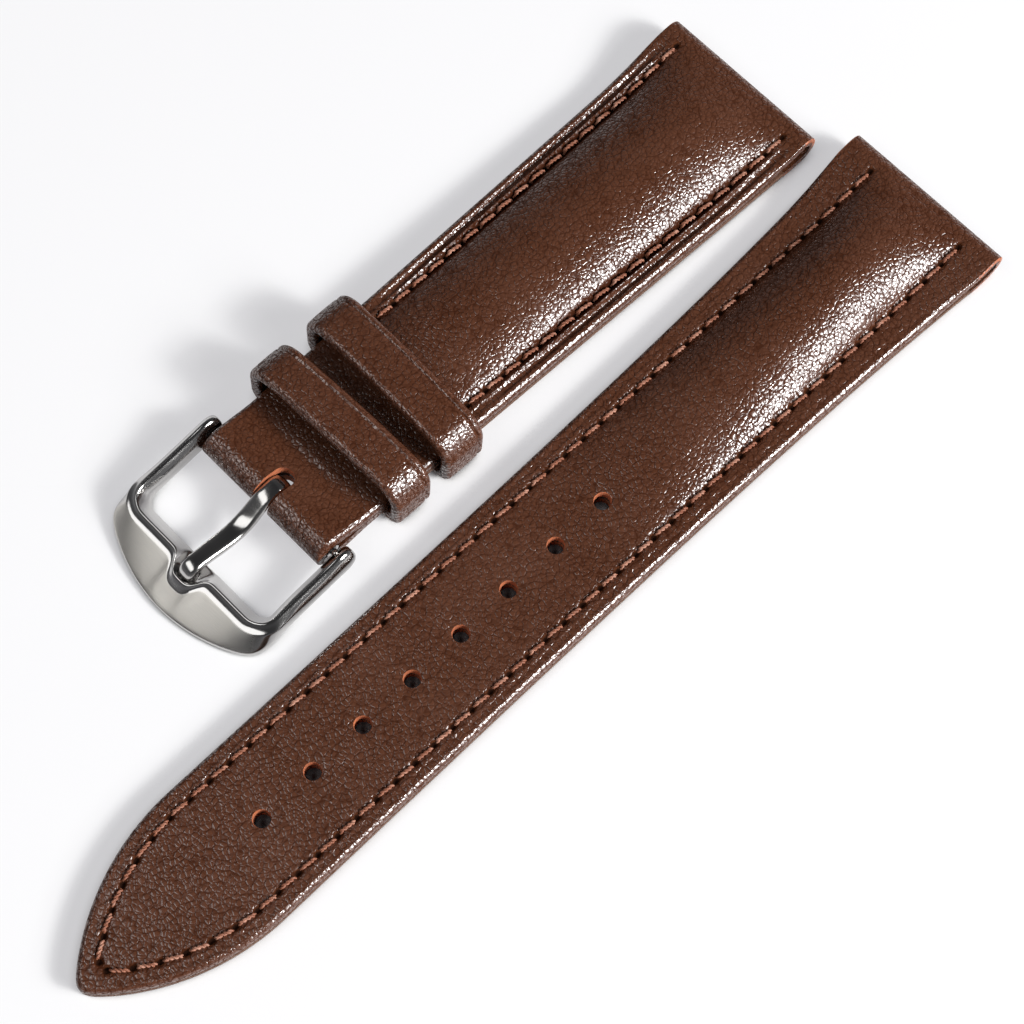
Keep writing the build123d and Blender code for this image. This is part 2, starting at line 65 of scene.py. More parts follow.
class Socket:
    """A shader socket that Python sums work on: each sum adds its Math node to the tree."""

    def __init__(self, tree, end=None):
        self.tree = tree
        self.end = end

    def node(self, kind, settings=None, inputs=None, out=0):
        """Adds any node: its settings first, then the values or links of its sockets."""
        made = self.tree.nodes.new("ShaderNode" + kind)
        for name, value in (settings or {}).items():
            if name == "stops":
                for place in list(value)[2:]:
                    made.color_ramp.elements.new(place)
                for element, (place, colour) in zip(made.color_ramp.elements, value.items()):
                    element.position = place
                    element.color = colour
            else:
                setattr(made, name, value)
        for name, value in (inputs or {}).items():
            if isinstance(value, Socket):
                self.tree.links.new(value.end, made.inputs[name])
            else:
                made.inputs[name].default_value = value
        return Socket(self.tree, made.outputs[out] if made.outputs else None)

    def sum(self, operation, first, second):
        return self.node("Math", {"operation": operation}, {0: first, 1: second})

    def __add__(self, other):
        return self.sum("ADD", self, other)

    def __radd__(self, other):
        return self.sum("ADD", other, self)

    def __sub__(self, other):
        return self.sum("SUBTRACT", self, other)

    def __rsub__(self, other):
        return self.sum("SUBTRACT", other, self)

    def __mul__(self, other):
        return self.sum("MULTIPLY", self, other)

    def __rmul__(self, other):
        return self.sum("MULTIPLY", other, self)

    def step(self, low, high):
        """0 below low and 1 above high, with a smooth rise between."""
        return self.node("MapRange", {"interpolation_type": "SMOOTHSTEP"},
                         {"Value": self, "From Min": low, "From Max": high})

    def blend(self, first, second):
        """This socket as the share of the second colour over the first."""
        return self.node("Mix", {"data_type": "RGBA"}, {0: self, 6: first, 7: second}, 2)


def new_material(name):
    material = bpy.data.materials.new(name)
    material.use_nodes = True
    material.node_tree.nodes.clear()
    return material, Socket(material.node_tree)


def new_object(name, points, faces, finish, fields=None):
    """Mesh object of one material from points in millimetres and faces. Each field holds a
    value for every point, which the shader reads by the field's name."""
    mesh = bpy.data.meshes.new(name)
    mesh.from_pydata((np.asarray(points) * mm).tolist(), [], faces)
    mesh.materials.append(finish)
    for field, values in (fields or {}).items():
        mesh.attributes.new(field, "FLOAT", "POINT").data.foreach_set("value", values)
    made = bpy.data.objects.new(name, mesh)
    bpy.context.scene.collection.objects.link(made)
    return made


board_white, paint = new_material("white board")
seen = paint.node("LightPath", out="Is Camera Ray") + paint.node("LightPath", out="Is Glossy Ray")
seen = seen + paint.node("LightPath", out="Is Transmission Ray")
# Painted shade: where ambient occlusion is low, in the tongue holes and at the leather's foot, the
# board's colour turns near black and its own glow fades out.
open_air = paint.node("AmbientOcclusion", {"samples": 8}, {"Distance": hole_shade * mm}, "AO")
card = paint.node("BsdfDiffuse", {}, {
    "Color": open_air.step(0.3, 0.6).blend(board_hole_painted_shade, board_colour)})
glow = paint.node("Emission", {}, {"Color": board_glow_colour, "Strength": 1.0})
share = seen * board_glow_share * open_air.step(0.3, 0.9)
mixed = paint.node("MixShader", {}, {0: share, 1: card, 2: glow})
paint.node("OutputMaterial", {}, {"Surface": mixed})
corners = [(-board_half, -board_half, 0), (board_half, -board_half, 0),
           (board_half, board_half, 0), (-board_half, board_half, 0)]
board = new_object("white_board", corners, [(0, 1, 2, 3)], board_white)

room = bpy.data.worlds.new("dim room")
room.use_nodes = True
room.node_tree.nodes.clear()
paint = Socket(room.node_tree)
upward = paint.node("SeparateXYZ", {}, {0: paint.node("TexCoord", out="Generated")}, "Z")
walls = paint.node("ValToRGB", {"stops": room_colours}, {0: upward})
walls = paint.node("Background", {}, {"Color": walls, "Strength": 1.0})
paint.node("OutputWorld", {}, {"Surface": walls})
bpy.context.scene.world = room


def soft_lamp(name, centre, size, level, diffuse_share=1.0):
    """Flat lamp that shines at the origin, with its centre and size in millimetres, a plain
    radiance level and the share of its light that matt surfaces take."""
    lamp = bpy.data.lights.new(name, "AREA")
    lamp.shape = "RECTANGLE"
    lamp.size, lamp.size_y = (side * mm for side in size)
    lamp.energy = level * pi * lamp.size * lamp.size_y
    lamp.diffuse_factor = diffuse_share
    made = bpy.data.objects.new(name, lamp)
    bpy.context.scene.collection.objects.link(made)
    x, y, z = centre
    made.location = np.array(centre) * mm
    made.rotation_euler = (acos(z / hypot(x, y, z)), 0, atan2(x, -y))


soft_lamp("key_lamp", centre=(775.0, 330.0, 530.0), size=(210.0, 150.0), level=75.0)
soft_lamp("key_halo", centre=(774.0, 330.0, 529.0), size=(560.0, 400.0), level=12.0)
soft_lamp("front_card", centre=(-141.0, -303.0, 498.0), size=(560.0, 290.0), level=1.85,
          diffuse_share=0.4)

camera = bpy.data.objects.new("camera", bpy.data.cameras.new("camera"))
camera.data.lens = eye_lens
camera.data.clip_start = mm
camera.location = np.array(eye) * mm
camera.rotation_euler = [radians(angle) for angle in eye_turn]
bpy.context.scene.collection.objects.link(camera)
bpy.context.scene.camera = camera
bpy.context.scene.view_settings.view_transform = "Standard"

# Long cover
# The upper leather of the long piece: brown embossed calf, turned under at the lug end round
# the watch's bar and glued there, arched over its filler, creased along the edges, sewn down
# in two rows that meet at the point, and punched with eight holes for the tongue.
long_low, long_high = (np.array(corner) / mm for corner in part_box("long_upper"))
long_origin = ((long_low[0] + long_high[0]) / 2, long_high[1], 0.0)
long_seat = (long_origin, 0.0)      # where the piece lies and its tilt
long_length = long_high[1] - long_low[1]
lug_half = (long_high[0] - long_low[0]) / 2
straight_end = 3.6
tail_half = 8.05
flare_length = 23.9
tip_length = 18.0
tip_start = long_length - tip_length
tip_half = tail_half + (lug_half - tail_half) * np.exp(-(tip_start - straight_end) / flare_length)
tip_softness = 0.9
tip_blunt_half = 1.2
tip_blunt_sag = 0.6
tip_radius = (((tip_half - tip_blunt_half) ** 2 + (tip_length - tip_blunt_sag) ** 2)
              / (2 * (tip_half - tip_blunt_half)))

roll_radius = 1.8
tunnel_radius = 0.9
flap_end = 4.55
edge_height = 2.2
lining_top = 0.93
slope_end = 12.0
edge_rounding = 0.55
cut_rounding = 0.12
leather_thickness = 1.05
station_step = 0.3125

stitch_pitch = 2.5
first_stitch = 4.3
channel_reach = 0.75
channel_depth = 0.12
channel_half = 0.36
seam_width = 0.45
needle_depth = 0.26
needle_length = 0.36
needle_width = 0.27
before_sewing = -9.0        # the run along a row, where there is no row
long_row_half = 6.13
long_groove = (0.95, 0.03, 0.24)      # middle in from the edge, depth, half width
long_ridge = (1.36, 0.03, 0.1)

long_rise_places = (1.0, 2.6, 4.4, 7.0, 12.0, 21.6, 34.1, 45.0, 54.5)
long_rises = (0.0, 0.3, 0.95, 1.85, 2.75, 2.45, 1.5, 0.6, 0.0)
crown_inset = 0.42
crown_power = 0.82

hole_radius = 0.875
hole_count = 8
hole_pitch = 6.49
first_hole = 49.06
dish_depth = 0.07           # how far the punch pressed the leather down round each hole
dish_width = 0.45

raw_end = 4.2
raw_width = 0.1
worn_width = 0.3

leather_brown = (0.105, 0.034, 0.0138, 1.0)
leather_deep = (0.036, 0.0105, 0.005, 1.0)
leather_light = (0.16, 0.064, 0.037, 1.0)
# Painted shade: the near-black colour of the needle pits
needle_pit_painted_shade = (0.008, 0.004, 0.003, 1.0)
raw_orange = (0.52, 0.155, 0.06, 1.0)
raw_dark = (0.2, 0.06, 0.03, 1.0)


def noise(paint, place, size, detail=3.0, out=0):
    """Noise with lumps of about a size in millimetres."""
    return paint.node("TexNoise", {}, {"Vector": place, "Scale": 1 / (size * mm),
                                       "Detail": detail}, out)


def leather(name, brown, deep, light, pebble, grain_depth, polish, gloss):
    """Embossed calf: pebbles parted by fine folds, darker in the folds, glossy at the top."""
    material, paint = new_material(name)
    place = paint.node("TexCoord", out="Object")
    shove = paint.node("VectorMath", {"operation": "SCALE"},
                       {0: noise(paint, place, 1.1, 1.0, "Color"), "Scale": pebble * 0.5 * mm})
    bent = paint.node("VectorMath", {"operation": "ADD"}, {0: place, 1: shove})
    domes = 1 - paint.node("TexVoronoi", {"feature": "SMOOTH_F1"}, {
        "Vector": bent, "Scale": 1 / (pebble * mm), "Smoothness": 0.35}).step(0.1, 0.75)
    folds = paint.node("TexVoronoi", {"feature": "DISTANCE_TO_EDGE"},
                       {"Vector": bent, "Scale": 1 / (pebble * mm)}).step(0.0, 0.22)
    creases = paint.node("TexVoronoi", {"feature": "DISTANCE_TO_EDGE"},
                         {"Vector": bent, "Scale": 0.6 / (pebble * mm)}).step(0.0, 0.16)
    swell = noise(paint, place, 1.3, 2.0)
    lumps = noise(paint, place, 0.3, 4.0)
    patches = noise(paint, place, 7.0, 3.0)
    edge, needle, raw, worn, seam = (
        paint.node("Attribute", {"attribute_name": field}, out="Fac")
        for field in ("edge", "needle", "raw", "worn", "seam"))
    colour = (folds * 0.45 + creases * 0.35 + lumps * 0.35).blend(deep, brown)
    colour = (patches.step(0.4, 0.75) * 0.15).blend(colour, light)
    # Painted shade: darker along the sewn channel beside the stitches.
    colour = (seam * 0.35).blend(colour, deep)
    scuffs = worn * noise(paint, place, 0.3, 5.0).step(0.5, 0.62)
    colour = (scuffs * 0.8).blend(colour, light)
    # Painted shade: the needle pits turn near black for the dark inside the holes.
    colour = (needle.step(0.05, 0.6) * 0.9).blend(colour, needle_pit_painted_shade)
    frayed = noise(paint, place, 0.25, 5.0).step(0.35, 0.65)
    colour = raw.step(0.4, 0.8).blend(colour, frayed.blend(raw_dark, raw_orange))
    height = domes * 0.45 + folds * 0.5 + creases * 0.45 + lumps * 0.14 + swell * 0.9
    soft = 1 - edge * 0.45
    bump = paint.node("Bump", {}, {"Height": height * soft, "Distance": grain_depth * mm,
                                   "Strength": 1.0})
    rough = polish + (1 - folds) * 0.08 + patches * 0.08 + raw * 0.35 + seam * 0.15
    shader = paint.node("BsdfPrincipled", {}, {
        "Base Color": colour, "Roughness": rough, "Normal": bump, "IOR": 1.7,
        "Specular IOR Level": gloss})
    matt = paint.node("BsdfDiffuse", {}, {"Color": colour, "Normal": bump})
    dull = (1 - folds) * 0.55 + (1 - creases) * 0.4 + needle.step(0.02, 0.2) + seam * 0.35
    mixed = paint.node("MixShader", {}, {0: dull, 1: shader, 2: matt})
    paint.node("OutputMaterial", {}, {"Surface": mixed})
    return material


def plain_surface(paint, colour, rough, height, relief, metallic=0.0):
    """Ends a material with one shader, whose bumps are a relief in millimetres deep."""
    bump = paint.node("Bump", {}, {"Height": height, "Distance": relief * mm, "Strength": 1.0})
    shader = paint.node("BsdfPrincipled", {}, {"Base Color": colour, "Metallic": metallic,
                                               "Roughness": rough, "Normal": bump})
    paint.node("OutputMaterial", {}, {"Surface": shader})


def raw_leather(name):
    """The cut edge of the hide: orange-tan fibres, matt and a little frayed."""
    material, paint = new_material(name)
    place = paint.node("TexCoord", out="Object")
    fibres = noise(paint, place, 0.12, 5.0)
    patches = noise(paint, place, 0.7, 3.0)
    colour = (fibres * 0.7 + patches * 0.6).step(0.35, 0.85).blend(raw_dark, raw_orange)
    plain_surface(paint, colour, 0.85, fibres, 0.06)
    return material


brown_calf = leather("brown embossed calf", leather_brown, leather_deep, leather_light,
                     pebble=0.5, grain_depth=0.038, polish=0.19, gloss=1.0)
raw_edge = raw_leather("raw cut edge")


def eased(values, places, heights):
    """Smooth curve through a few chosen heights."""
    places = np.asarray(places, float)
    heights = np.asarray(heights, float)
    slopes = np.gradient(heights, places)
    slopes[[0, -1]] = 0
    index = np.clip(np.searchsorted(places, values) - 1, 0, len(places) - 2)
    step = places[index + 1] - places[index]
    share = np.clip((values - places[index]) / step, 0, 1)
    after = share ** 2 * (3 - 2 * share)
    lean = step * share * (1 - share)
    return (heights[index] * (1 - after) + heights[index + 1] * after
            + lean * ((1 - share) * slopes[index] - share * slopes[index + 1]))


def placed(points, origin, tilt):
    """Turns (across, distance from the lug end, height) into the place in the row."""
    across, along, up = np.moveaxis(np.asarray(points, float), -1, 0)
    back = origin[1] - along * cos(tilt) + up * sin(tilt)
    high = origin[2] + along * sin(tilt) + up * cos(tilt)
    return np.stack([origin[0] + across, back, high], -1)


def long_half(along):
    flare = np.exp(-np.maximum(along - straight_end, 0) / flare_length)
    return tail_half + (lug_half - tail_half) * flare


def border_height(along):
    return eased(along, (roll_radius, 6.0, slope_end, 16.0),
                 (2 * roll_radius, 3.0, edge_height + 0.03, edge_height))


def steps_between(start, end, count, power=1.0):
    """Columns from a start to an end that both change along the strap, without the end."""
    share = (np.arange(count) / count) ** power
    return np.outer(start, 1 - share) + np.outer(end, share)


def column_depths(half, row):
    """How far in from the edge each column of one half lies, at each station."""
    ones = np.ones_like(half)
    rounding = edge_rounding * (1 - np.cos(np.radians(np.arange(0, 76, 15))))
    return np.hstack([
        np.outer(ones, rounding),
        steps_between(edge_rounding * ones, row - channel_reach + 0.1, 11),
        steps_between(row - channel_reach + 0.1, row + channel_reach, 13),
        steps_between(row + channel_reach, half, 14, 1.15),
        half[:, None]])


def surface_detail(depth, run, row, groove, ridge, rounding, sewn, last_stitch=np.inf):
    """Height of the edge's rounding, the creased groove and ridge, the sewn channel and its
    needle holes."""
    fall = rounding - np.minimum(depth, rounding)
    height = -(rounding - np.sqrt(np.maximum(rounding ** 2 - fall ** 2, 0)))
    height -= sewn * groove[1] * np.exp(-((depth - groove[0]) / groove[2]) ** 4)
    height += sewn * ridge[1] * np.exp(-((depth - ridge[0]) / ridge[2]) ** 2)
    phase = (run - first_stitch) / stitch_pitch - 0.5
    gap = (phase - np.round(phase)) * stitch_pitch
    inside = (np.round(phase) >= -1) & (run < last_stitch)
    needle = inside * np.exp(-(gap / needle_length) ** 2 - ((depth - row) / needle_width) ** 2)
    height -= sewn * channel_depth * np.exp(-((depth - row) / channel_half) ** 2)
    height -= needle_depth * needle
    return height, needle


def crown(across, row_half, rise):
    """The arch over the filler, drawn in steeply beside the stitches."""
    share = np.clip(1 - (across / (row_half - crown_inset)) ** 2, 0, 1)
    return rise * share ** crown_power


def quads(first, second, third, fourth):
    """Four-sided faces from the grids of their four corners."""
    return np.stack([first, second, third, fourth], -1).reshape(-1, 4).tolist()


def faces_outwards(piece, join=0.0):
    """Joins points nearer than a distance, drops loose ones and turns every face outwards."""
    shape = bmesh.new()
    shape.from_mesh(piece.data)
    if join:
        bmesh.ops.remove_doubles(shape, verts=shape.verts, dist=join * mm)
    loose = [vertex for vertex in shape.verts if not vertex.link_faces]
    bmesh.ops.delete(shape, geom=loose, context="VERTS")
    bmesh.ops.recalc_face_normals(shape, faces=shape.faces)
    shape.to_mesh(piece.data)
    shape.free()


def closed_sheet(name, outer, inner, seat, finish, fields=None, far_cap=True):
    """Closed sheet from grids of outer and inner points; each field is such a pair of grids."""
    rows, columns = outer.shape[:2]
    index = np.arange(rows * columns).reshape(rows, columns)
    under = index + rows * columns
    faces = quads(index[:-1, :-1], index[1:, :-1], index[1:, 1:], index[:-1, 1:])
    faces += quads(under[:-1, :-1], under[:-1, 1:], under[1:, 1:], under[1:, :-1])
    faces += quads(index[:-1, 0], under[:-1, 0], under[1:, 0], index[1:, 0])
    faces += quads(index[:-1, -1], index[1:, -1], under[1:, -1], under[:-1, -1])
    faces += quads(index[0, :-1], index[0, 1:], under[0, 1:], under[0, :-1])
    if far_cap:
        faces += quads(index[-1, :-1], under[-1, :-1], under[-1, 1:], index[-1, 1:])
    points = placed(np.concatenate([outer.reshape(-1, 3), inner.reshape(-1, 3)]), *seat)
    values = {field: np.concatenate([above.ravel(), below.ravel()])
              for field, (above, below) in (fields or {}).items()}
    made = new_object(name, points, faces, finish, values)
    faces_outwards(made, 0.003)
    return made


def smooth(piece, angle=38.0):
    """Smooth shading that keeps edges sharper than an angle."""
    piece.data.shade_smooth()
    piece.data.set_sharp_from_angle(angle=radians(angle))


def settle(piece):
    """Applies a piece's modifiers."""
    bpy.context.view_layer.update()
    shown = piece.evaluated_get(bpy.context.evaluated_depsgraph_get())
    piece.data = bpy.data.meshes.new_from_object(shown)
    piece.modifiers.clear()


def lathe(profile, turns=36):
    """Points and faces of a profile of (radius, height) turned round the upright axis."""
    angles = np.arange(turns) * 2 * pi / turns
    profile = np.asarray(profile, float)
    points = np.stack([np.outer(np.cos(angles), profile[:, 0]),
                       np.outer(np.sin(angles), profile[:, 0]),
                       np.outer(np.ones(turns), profile[:, 1])], -1).reshape(-1, 3)
    count = len(profile)
    faces = [(turn * count + place, (turn + 1) % turns * count + place,
              (turn + 1) % turns * count + place + 1, turn * count + place + 1)
             for turn in range(turns) for place in range(count - 1)]
    faces.append([turn * count for turn in reversed(range(turns))])
    faces.append([turn * count + count - 1 for turn in range(turns)])
    return points, faces


def cut(piece, points, faces, finish=raw_edge):
    """Cuts a closed shape out of a piece; the cut faces take the finish, raw leather at first."""
    cutter = new_object("cutter", points, faces, finish)
    faces_outwards(cutter)
    modifier = piece.modifiers.new("cut", "BOOLEAN")
    modifier.operation = "DIFFERENCE"
    modifier.solver = "EXACT"
    modifier.material_mode = "TRANSFER"
    modifier.object = cutter
    settle(piece)
    bpy.data.objects.remove(cutter)


def tongue_hole_cutters(top_height):
    """One shape for every tongue hole, a little flared where the punch pressed the top."""
    points, faces = [], []
    for step in range(hole_count):
        place = first_hole + step * hole_pitch
        top = float(top_height(place))
        profile = [(0.001, -1), (hole_radius, -1), (hole_radius, top - 0.2),
                   (hole_radius + 0.05, top - 0.05), (hole_radius + 0.16, top + 0.06),
                   (hole_radius + 0.2, top + 1), (0.001, top + 1)]
        ring, ring_faces = lathe(profile)
        faces += [[corner + len(points) * len(ring) for corner in face] for face in ring_faces]
        points.append(placed(ring * (1, -1, 1) + (0, place, 0), *long_seat))
    return np.concatenate(points), faces


def rolled_stations(last):
    """Side path of a cover: the flap's end, the roll round the tunnel and the run beyond.

    Each station has its place and height, its outward direction and the sheet's thickness."""
    flap = np.linspace(flap_end, roll_radius, 6)[:-1]
    turn = np.radians(np.linspace(-90, 90, 22))
    run = np.arange(roll_radius + station_step, last + station_step / 2, station_step)
    along = np.concatenate([flap, roll_radius - roll_radius * np.cos(turn), run])
    up = np.concatenate([0 * flap, roll_radius + roll_radius * np.sin(turn),
                         border_height(run)])
    lean_along = np.concatenate([0 * flap, -np.cos(turn), 0 * run])
    lean_up = np.concatenate([0 * flap - 1, np.sin(turn), 0 * run + 1])
    thickness = np.concatenate([
        0 * flap + lining_top - 0.05, 0 * turn + roll_radius - tunnel_radius,
        np.minimum(roll_radius - tunnel_radius + (run - roll_radius) * 0.62,
                   border_height(run) - lining_top)])
    on_roll = np.concatenate([0 * flap + 1, 0 * turn + 1, 0 * run])
    return along, up, lean_along, lean_up, thickness, on_roll


def both_halves(values, sign=1):
    """A half's columns, edge to middle, and the other half's mirrored after them."""
    return np.hstack([sign * values, values[:, -2::-1]])


def whole(points):
    """Both halves of a strap from the points of one, edge to middle to edge."""
    return np.stack([both_halves(points[..., 0], -1), both_halves(points[..., 1]),
                     both_halves(points[..., 2])], -1)


def cover_fields(depth, row_depth, sewn, needle, raw, rubbed=0.0):
    """What the leather's shader reads on a cover's outer side; the inner side has zeros."""
    outside = {"needle": needle, "edge": (depth < worn_width) * 1.0,
               "seam": sewn * np.exp(-((depth - row_depth) / seam_width) ** 2), "raw": raw,
               "worn": np.exp(-((depth - worn_width) / worn_width) ** 2) * 0.3 + rubbed}
    return {field: (both_halves(values), both_halves(0 * depth))
            for field, values in outside.items()}


along, up, lean_along, lean_up, thickness, on_roll = rolled_stations(tip_start)
half = long_half(along)
row_depth = half - long_row_half
depth = column_depths(half, row_depth)
across = half[:, None] - depth
place = np.tile(along[:, None], depth.shape[1])
run = np.where(on_roll[:, None] > 0, before_sewing, place)

tip_steps = 64
tip_depth = np.tile(depth[-1], (tip_steps, 1))
arc = tip_radius - tip_depth
centre = tip_radius - tip_half
share = np.arange(1, tip_steps + 1)[:, None] / tip_steps
turn = share * np.arccos(np.clip(centre / arc, -1, 1))
tip_across = np.maximum(arc * np.cos(turn) - centre, 0)
softness = tip_softness * np.maximum(1 - tip_depth / tip_half, 1e-4)
soft_across = softness * np.logaddexp(tip_across / softness, -tip_across / softness)
tip_place = tip_start + np.sqrt(np.maximum(arc ** 2 - (soft_across + centre) ** 2, 0))
tip_run = tip_start + turn * (tip_radius - row_depth[-1])

depth = np.vstack([depth, tip_depth])
across = np.vstack([across, tip_across])
place = np.vstack([place, tip_place])
run = np.vstack([run, tip_run])
along, up, lean_along, lean_up, thickness, on_roll, row_depth = (
    np.concatenate([values, np.full(tip_steps, values[-1])])[:, None]
    for values in (along, up, lean_along, lean_up, thickness, on_roll, row_depth))
on_body = 1 - on_roll
rounding = on_body * eased(place, (4.0, 9.0), (cut_rounding, edge_rounding)) + on_roll * cut_rounding
sewn = on_body * eased(place, (2.2, 4.0), (0.0, 1.0))
detail, needle = surface_detail(depth, run, row_depth, long_groove, long_ridge, rounding, sewn)
arch = on_body * crown(across, long_row_half, eased(place, long_rise_places, long_rises))
nearest = first_hole + hole_pitch * np.clip(np.round((place - first_hole) / hole_pitch), 0,
                                            hole_count - 1)
from_hole = np.hypot(across, place - nearest)
detail -= on_body * dish_depth * np.exp(-((from_hole - hole_radius) / dish_width) ** 2)
lift = detail + arch
outer = np.stack([across, place + lean_along * lift, up + lean_up * lift], -1)
below = thickness + 0 * detail
inner_up = np.where(on_roll > 0, up - lean_up * below,
                    np.maximum(up - below, up + arch - leather_thickness))
inner = np.stack([across, place - lean_along * below, inner_up], -1)
raw = (place < raw_end) * (depth < raw_width) * 1.0
long_cover = closed_sheet("long_cover", whole(outer), whole(inner), long_seat, brown_calf,
                          cover_fields(depth, row_depth, sewn, needle, raw), far_cap=False)


def long_top(place):
    return edge_height + eased(np.array([place]), long_rise_places, long_rises)[0]


cut(long_cover, *tongue_hole_cutters(long_top))
smooth(long_cover)
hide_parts("long_upper")
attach(long_cover, "long_strap")

# Long lining
# The soft split leather under the long piece, butted against the turned-under end and
# glued to the cover. The bobbin thread lies in a pressed groove along both rows.
lining_start = 4.6
lining_rounding = 0.28
bobbin_groove = 0.24
bobbin_groove_half = 0.4
glue_gap = 0.03
lining_brown = (0.155, 0.075, 0.045, 1.0)
lining_deep = (0.085, 0.036, 0.021, 1.0)
lining_light = (0.23, 0.125, 0.082, 1.0)


def lining_sheet(name, across, place, depth, row_depth, sewn, seat, far_cap):
    """Flat sheet under a cover, from the half grid of its places."""
    fall = lining_rounding - np.minimum(depth, lining_rounding)
    under = lining_rounding - np.sqrt(np.maximum(lining_rounding ** 2 - fall ** 2, 0))
    under += sewn * bobbin_groove * np.exp(-((depth - row_depth) / bobbin_groove_half) ** 4)
    top = np.full_like(place, lining_top - glue_gap)
    lower = whole(np.stack([across, place, under], -1))
    upper_face = whole(np.stack([across, place, top], -1))
    zero = both_halves(0 * place)
    fields = {field: (zero, zero) for field in ("needle", "edge", "raw", "worn")}
    return closed_sheet(name, upper_face, lower, seat, soft_split, fields, far_cap)


soft_split = leather("soft lining leather", lining_brown, lining_deep, lining_light,
                     pebble=0.35, grain_depth=0.03, polish=0.5, gloss=0.4)


def first_station(start):
    """Number of the cover's first station from a place on, past the roll."""
    return np.argmax((place[:, -1] >= start) & (on_roll[:, 0] < 0.5))


first_row = first_station(lining_start)
lining_place = place[first_row:].copy()
lining_place[0] = lining_start
long_lining = lining_sheet("long_underside", across[first_row:], lining_place, depth[first_row:],
                           row_depth[first_row:], 1.0, long_seat, far_cap=False)
cut(long_lining, *tongue_hole_cutters(long_top))
smooth(long_lining)
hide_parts("long_lining")
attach(long_lining, "long_strap")

# Long filler and tape
# A skived pad of felted leather fibre that arches the cover, on a woven tape that keeps the
# strap from stretching. Both are glued between cover and lining and end before the holes.
tape_half = 4.0
tape_top = 1.2
tape_start = 3.95
long_tape_end = 40.0
filler_start = 5.2
filler_margin = 0.75
filler_blunt_share = 0.8
pad_place = 3.9             # where a full pad would start; its thin ends are cut off
long_pad_length = 50.0
short_pad_length = 42.0
yarn_pitch = 0.5
filler_colours = ((0.36, 0.27, 0.19, 1.0), (0.2, 0.14, 0.095, 1.0))
tape_colours = ((0.62, 0.58, 0.5, 1.0), (0.38, 0.34, 0.28, 1.0))


def felted_fibre(name, pale, dark):
    """Pressed fibres: blotched and matt."""
    material, paint = new_material(name)
    place = paint.node("TexCoord", out="Object")
    fibres = noise(paint, place, 0.2, 5.0)
    colour = (fibres * 0.7 + noise(paint, place, 1.6, 2.0) * 0.5).step(0.3, 0.9).blend(dark, pale)
    plain_surface(paint, colour, 0.95, fibres, 0.08)
    return material


def woven_tape(name, pale, dark):
    """Plain weave of flat yarns."""
    material, paint = new_material(name)
    warp, weft = (
        paint.node("SeparateXYZ", {}, {0: paint.node("TexCoord", out="Object")}, axis)
        for axis in ("X", "Y"))
    warp, weft = (
        paint.node("Math", {"operation": "SINE"}, {0: place * (2 * pi / (yarn_pitch * mm))})
        for place in (warp, weft))
    weave = (warp * weft) * 0.5 + 0.5
    plain_surface(paint, weave.blend(dark, pale), 0.9, weave, 0.05)
    return material


felt = felted_fibre("felted fibre filler", *filler_colours)
tape_weave = woven_tape("woven tape", *tape_colours)


def filler_pad(name, row_half, rise, pad_length, seat):
    """Arched pad between lining and cover, thinned out to its end."""
    stations = np.linspace(filler_start, pad_place + filler_blunt_share * pad_length, 90)[:, None]
    edge = row_half(stations) - filler_margin
    columns = np.sin(np.linspace(-pi / 2, pi / 2, 41))[None, :]
    across = edge * columns
    bottom = np.where(np.abs(across) < tape_half + 0.15, tape_top + 0.06, lining_top + 0.06)
    cover_under = (border_height(stations) + crown(across, row_half(stations), rise(stations))
                   - leather_thickness)
    top = np.maximum(cover_under - 0.08, bottom + 0.04)
    place = stations + 0 * across
    return closed_sheet(name, np.stack([across, place, top], -1),
                        np.stack([across, place, bottom], -1), seat, felt)


def tape_strip(name, last, seat):
    """Thin flat strip laid on the lining."""
    stations = np.linspace(tape_start, last, 60)[:, None]
    across = tape_half * np.linspace(-1, 1, 13)[None, :] + 0 * stations
    place = stations + 0 * across
    return closed_sheet(name, np.stack([across, place, 0 * across + tape_top], -1),
                        np.stack([across, place, 0 * across + lining_top], -1), seat, tape_weave)


long_filler = filler_pad("long_filler", lambda s: long_row_half + 0 * s,
                         lambda s: eased(s, long_rise_places, long_rises), long_pad_length,
                         long_seat)
smooth(long_filler)
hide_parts("long_padding")
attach(long_filler, "long_strap")
long_tape = tape_strip("long_tape", long_tape_end, long_seat)
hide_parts("long_reinforcement")
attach(long_tape, "long_strap")

# Long stitches
# Two rows of waxed two-ply thread, sewn by machine: each needle stitch slants across its
# row and dives into a hole at both ends, and the bobbin thread shows straight underneath.
stitch_slant = 7.0
stitch_half = 0.92
ply_radius = 0.125
ply_twist_radius = 0.108
ply_turns = 2.0
needle_lift = 0.18
needle_sink = 0.75
bobbin_half = 0.9
bobbin_lift = 0.18
bobbin_sink = 0.45
bobbin_start = 6.3
thread_brown = (0.38, 0.145, 0.08, 1.0)
thread_deep = (0.17, 0.055, 0.03, 1.0)
thread_light = (0.64, 0.36, 0.26, 1.0)


def waxed_thread(name):
    """Filaments laid along each ply, dark between the plies and a little shiny with wax."""
    material, paint = new_material(name)
    place = paint.node("TexCoord", out="Object")
    fibres = noise(paint, place, 0.09, 4.0)
    patches = noise(paint, place, 1.4, 2.0)
    colour = fibres.step(0.3, 0.7).blend(thread_deep, thread_brown)
    colour = (patches.step(0.45, 0.7) * 0.45).blend(colour, thread_light)
    plain_surface(paint, colour, 0.5, fibres, 0.05)
    return material


thread = waxed_thread("waxed brown thread")


def tube_faces(index):
    """Faces along a row of closed rings of point numbers."""
    after = np.roll(index, -1, axis=1)
    return quads(index[:-1], after[:-1], after[1:], index[1:])


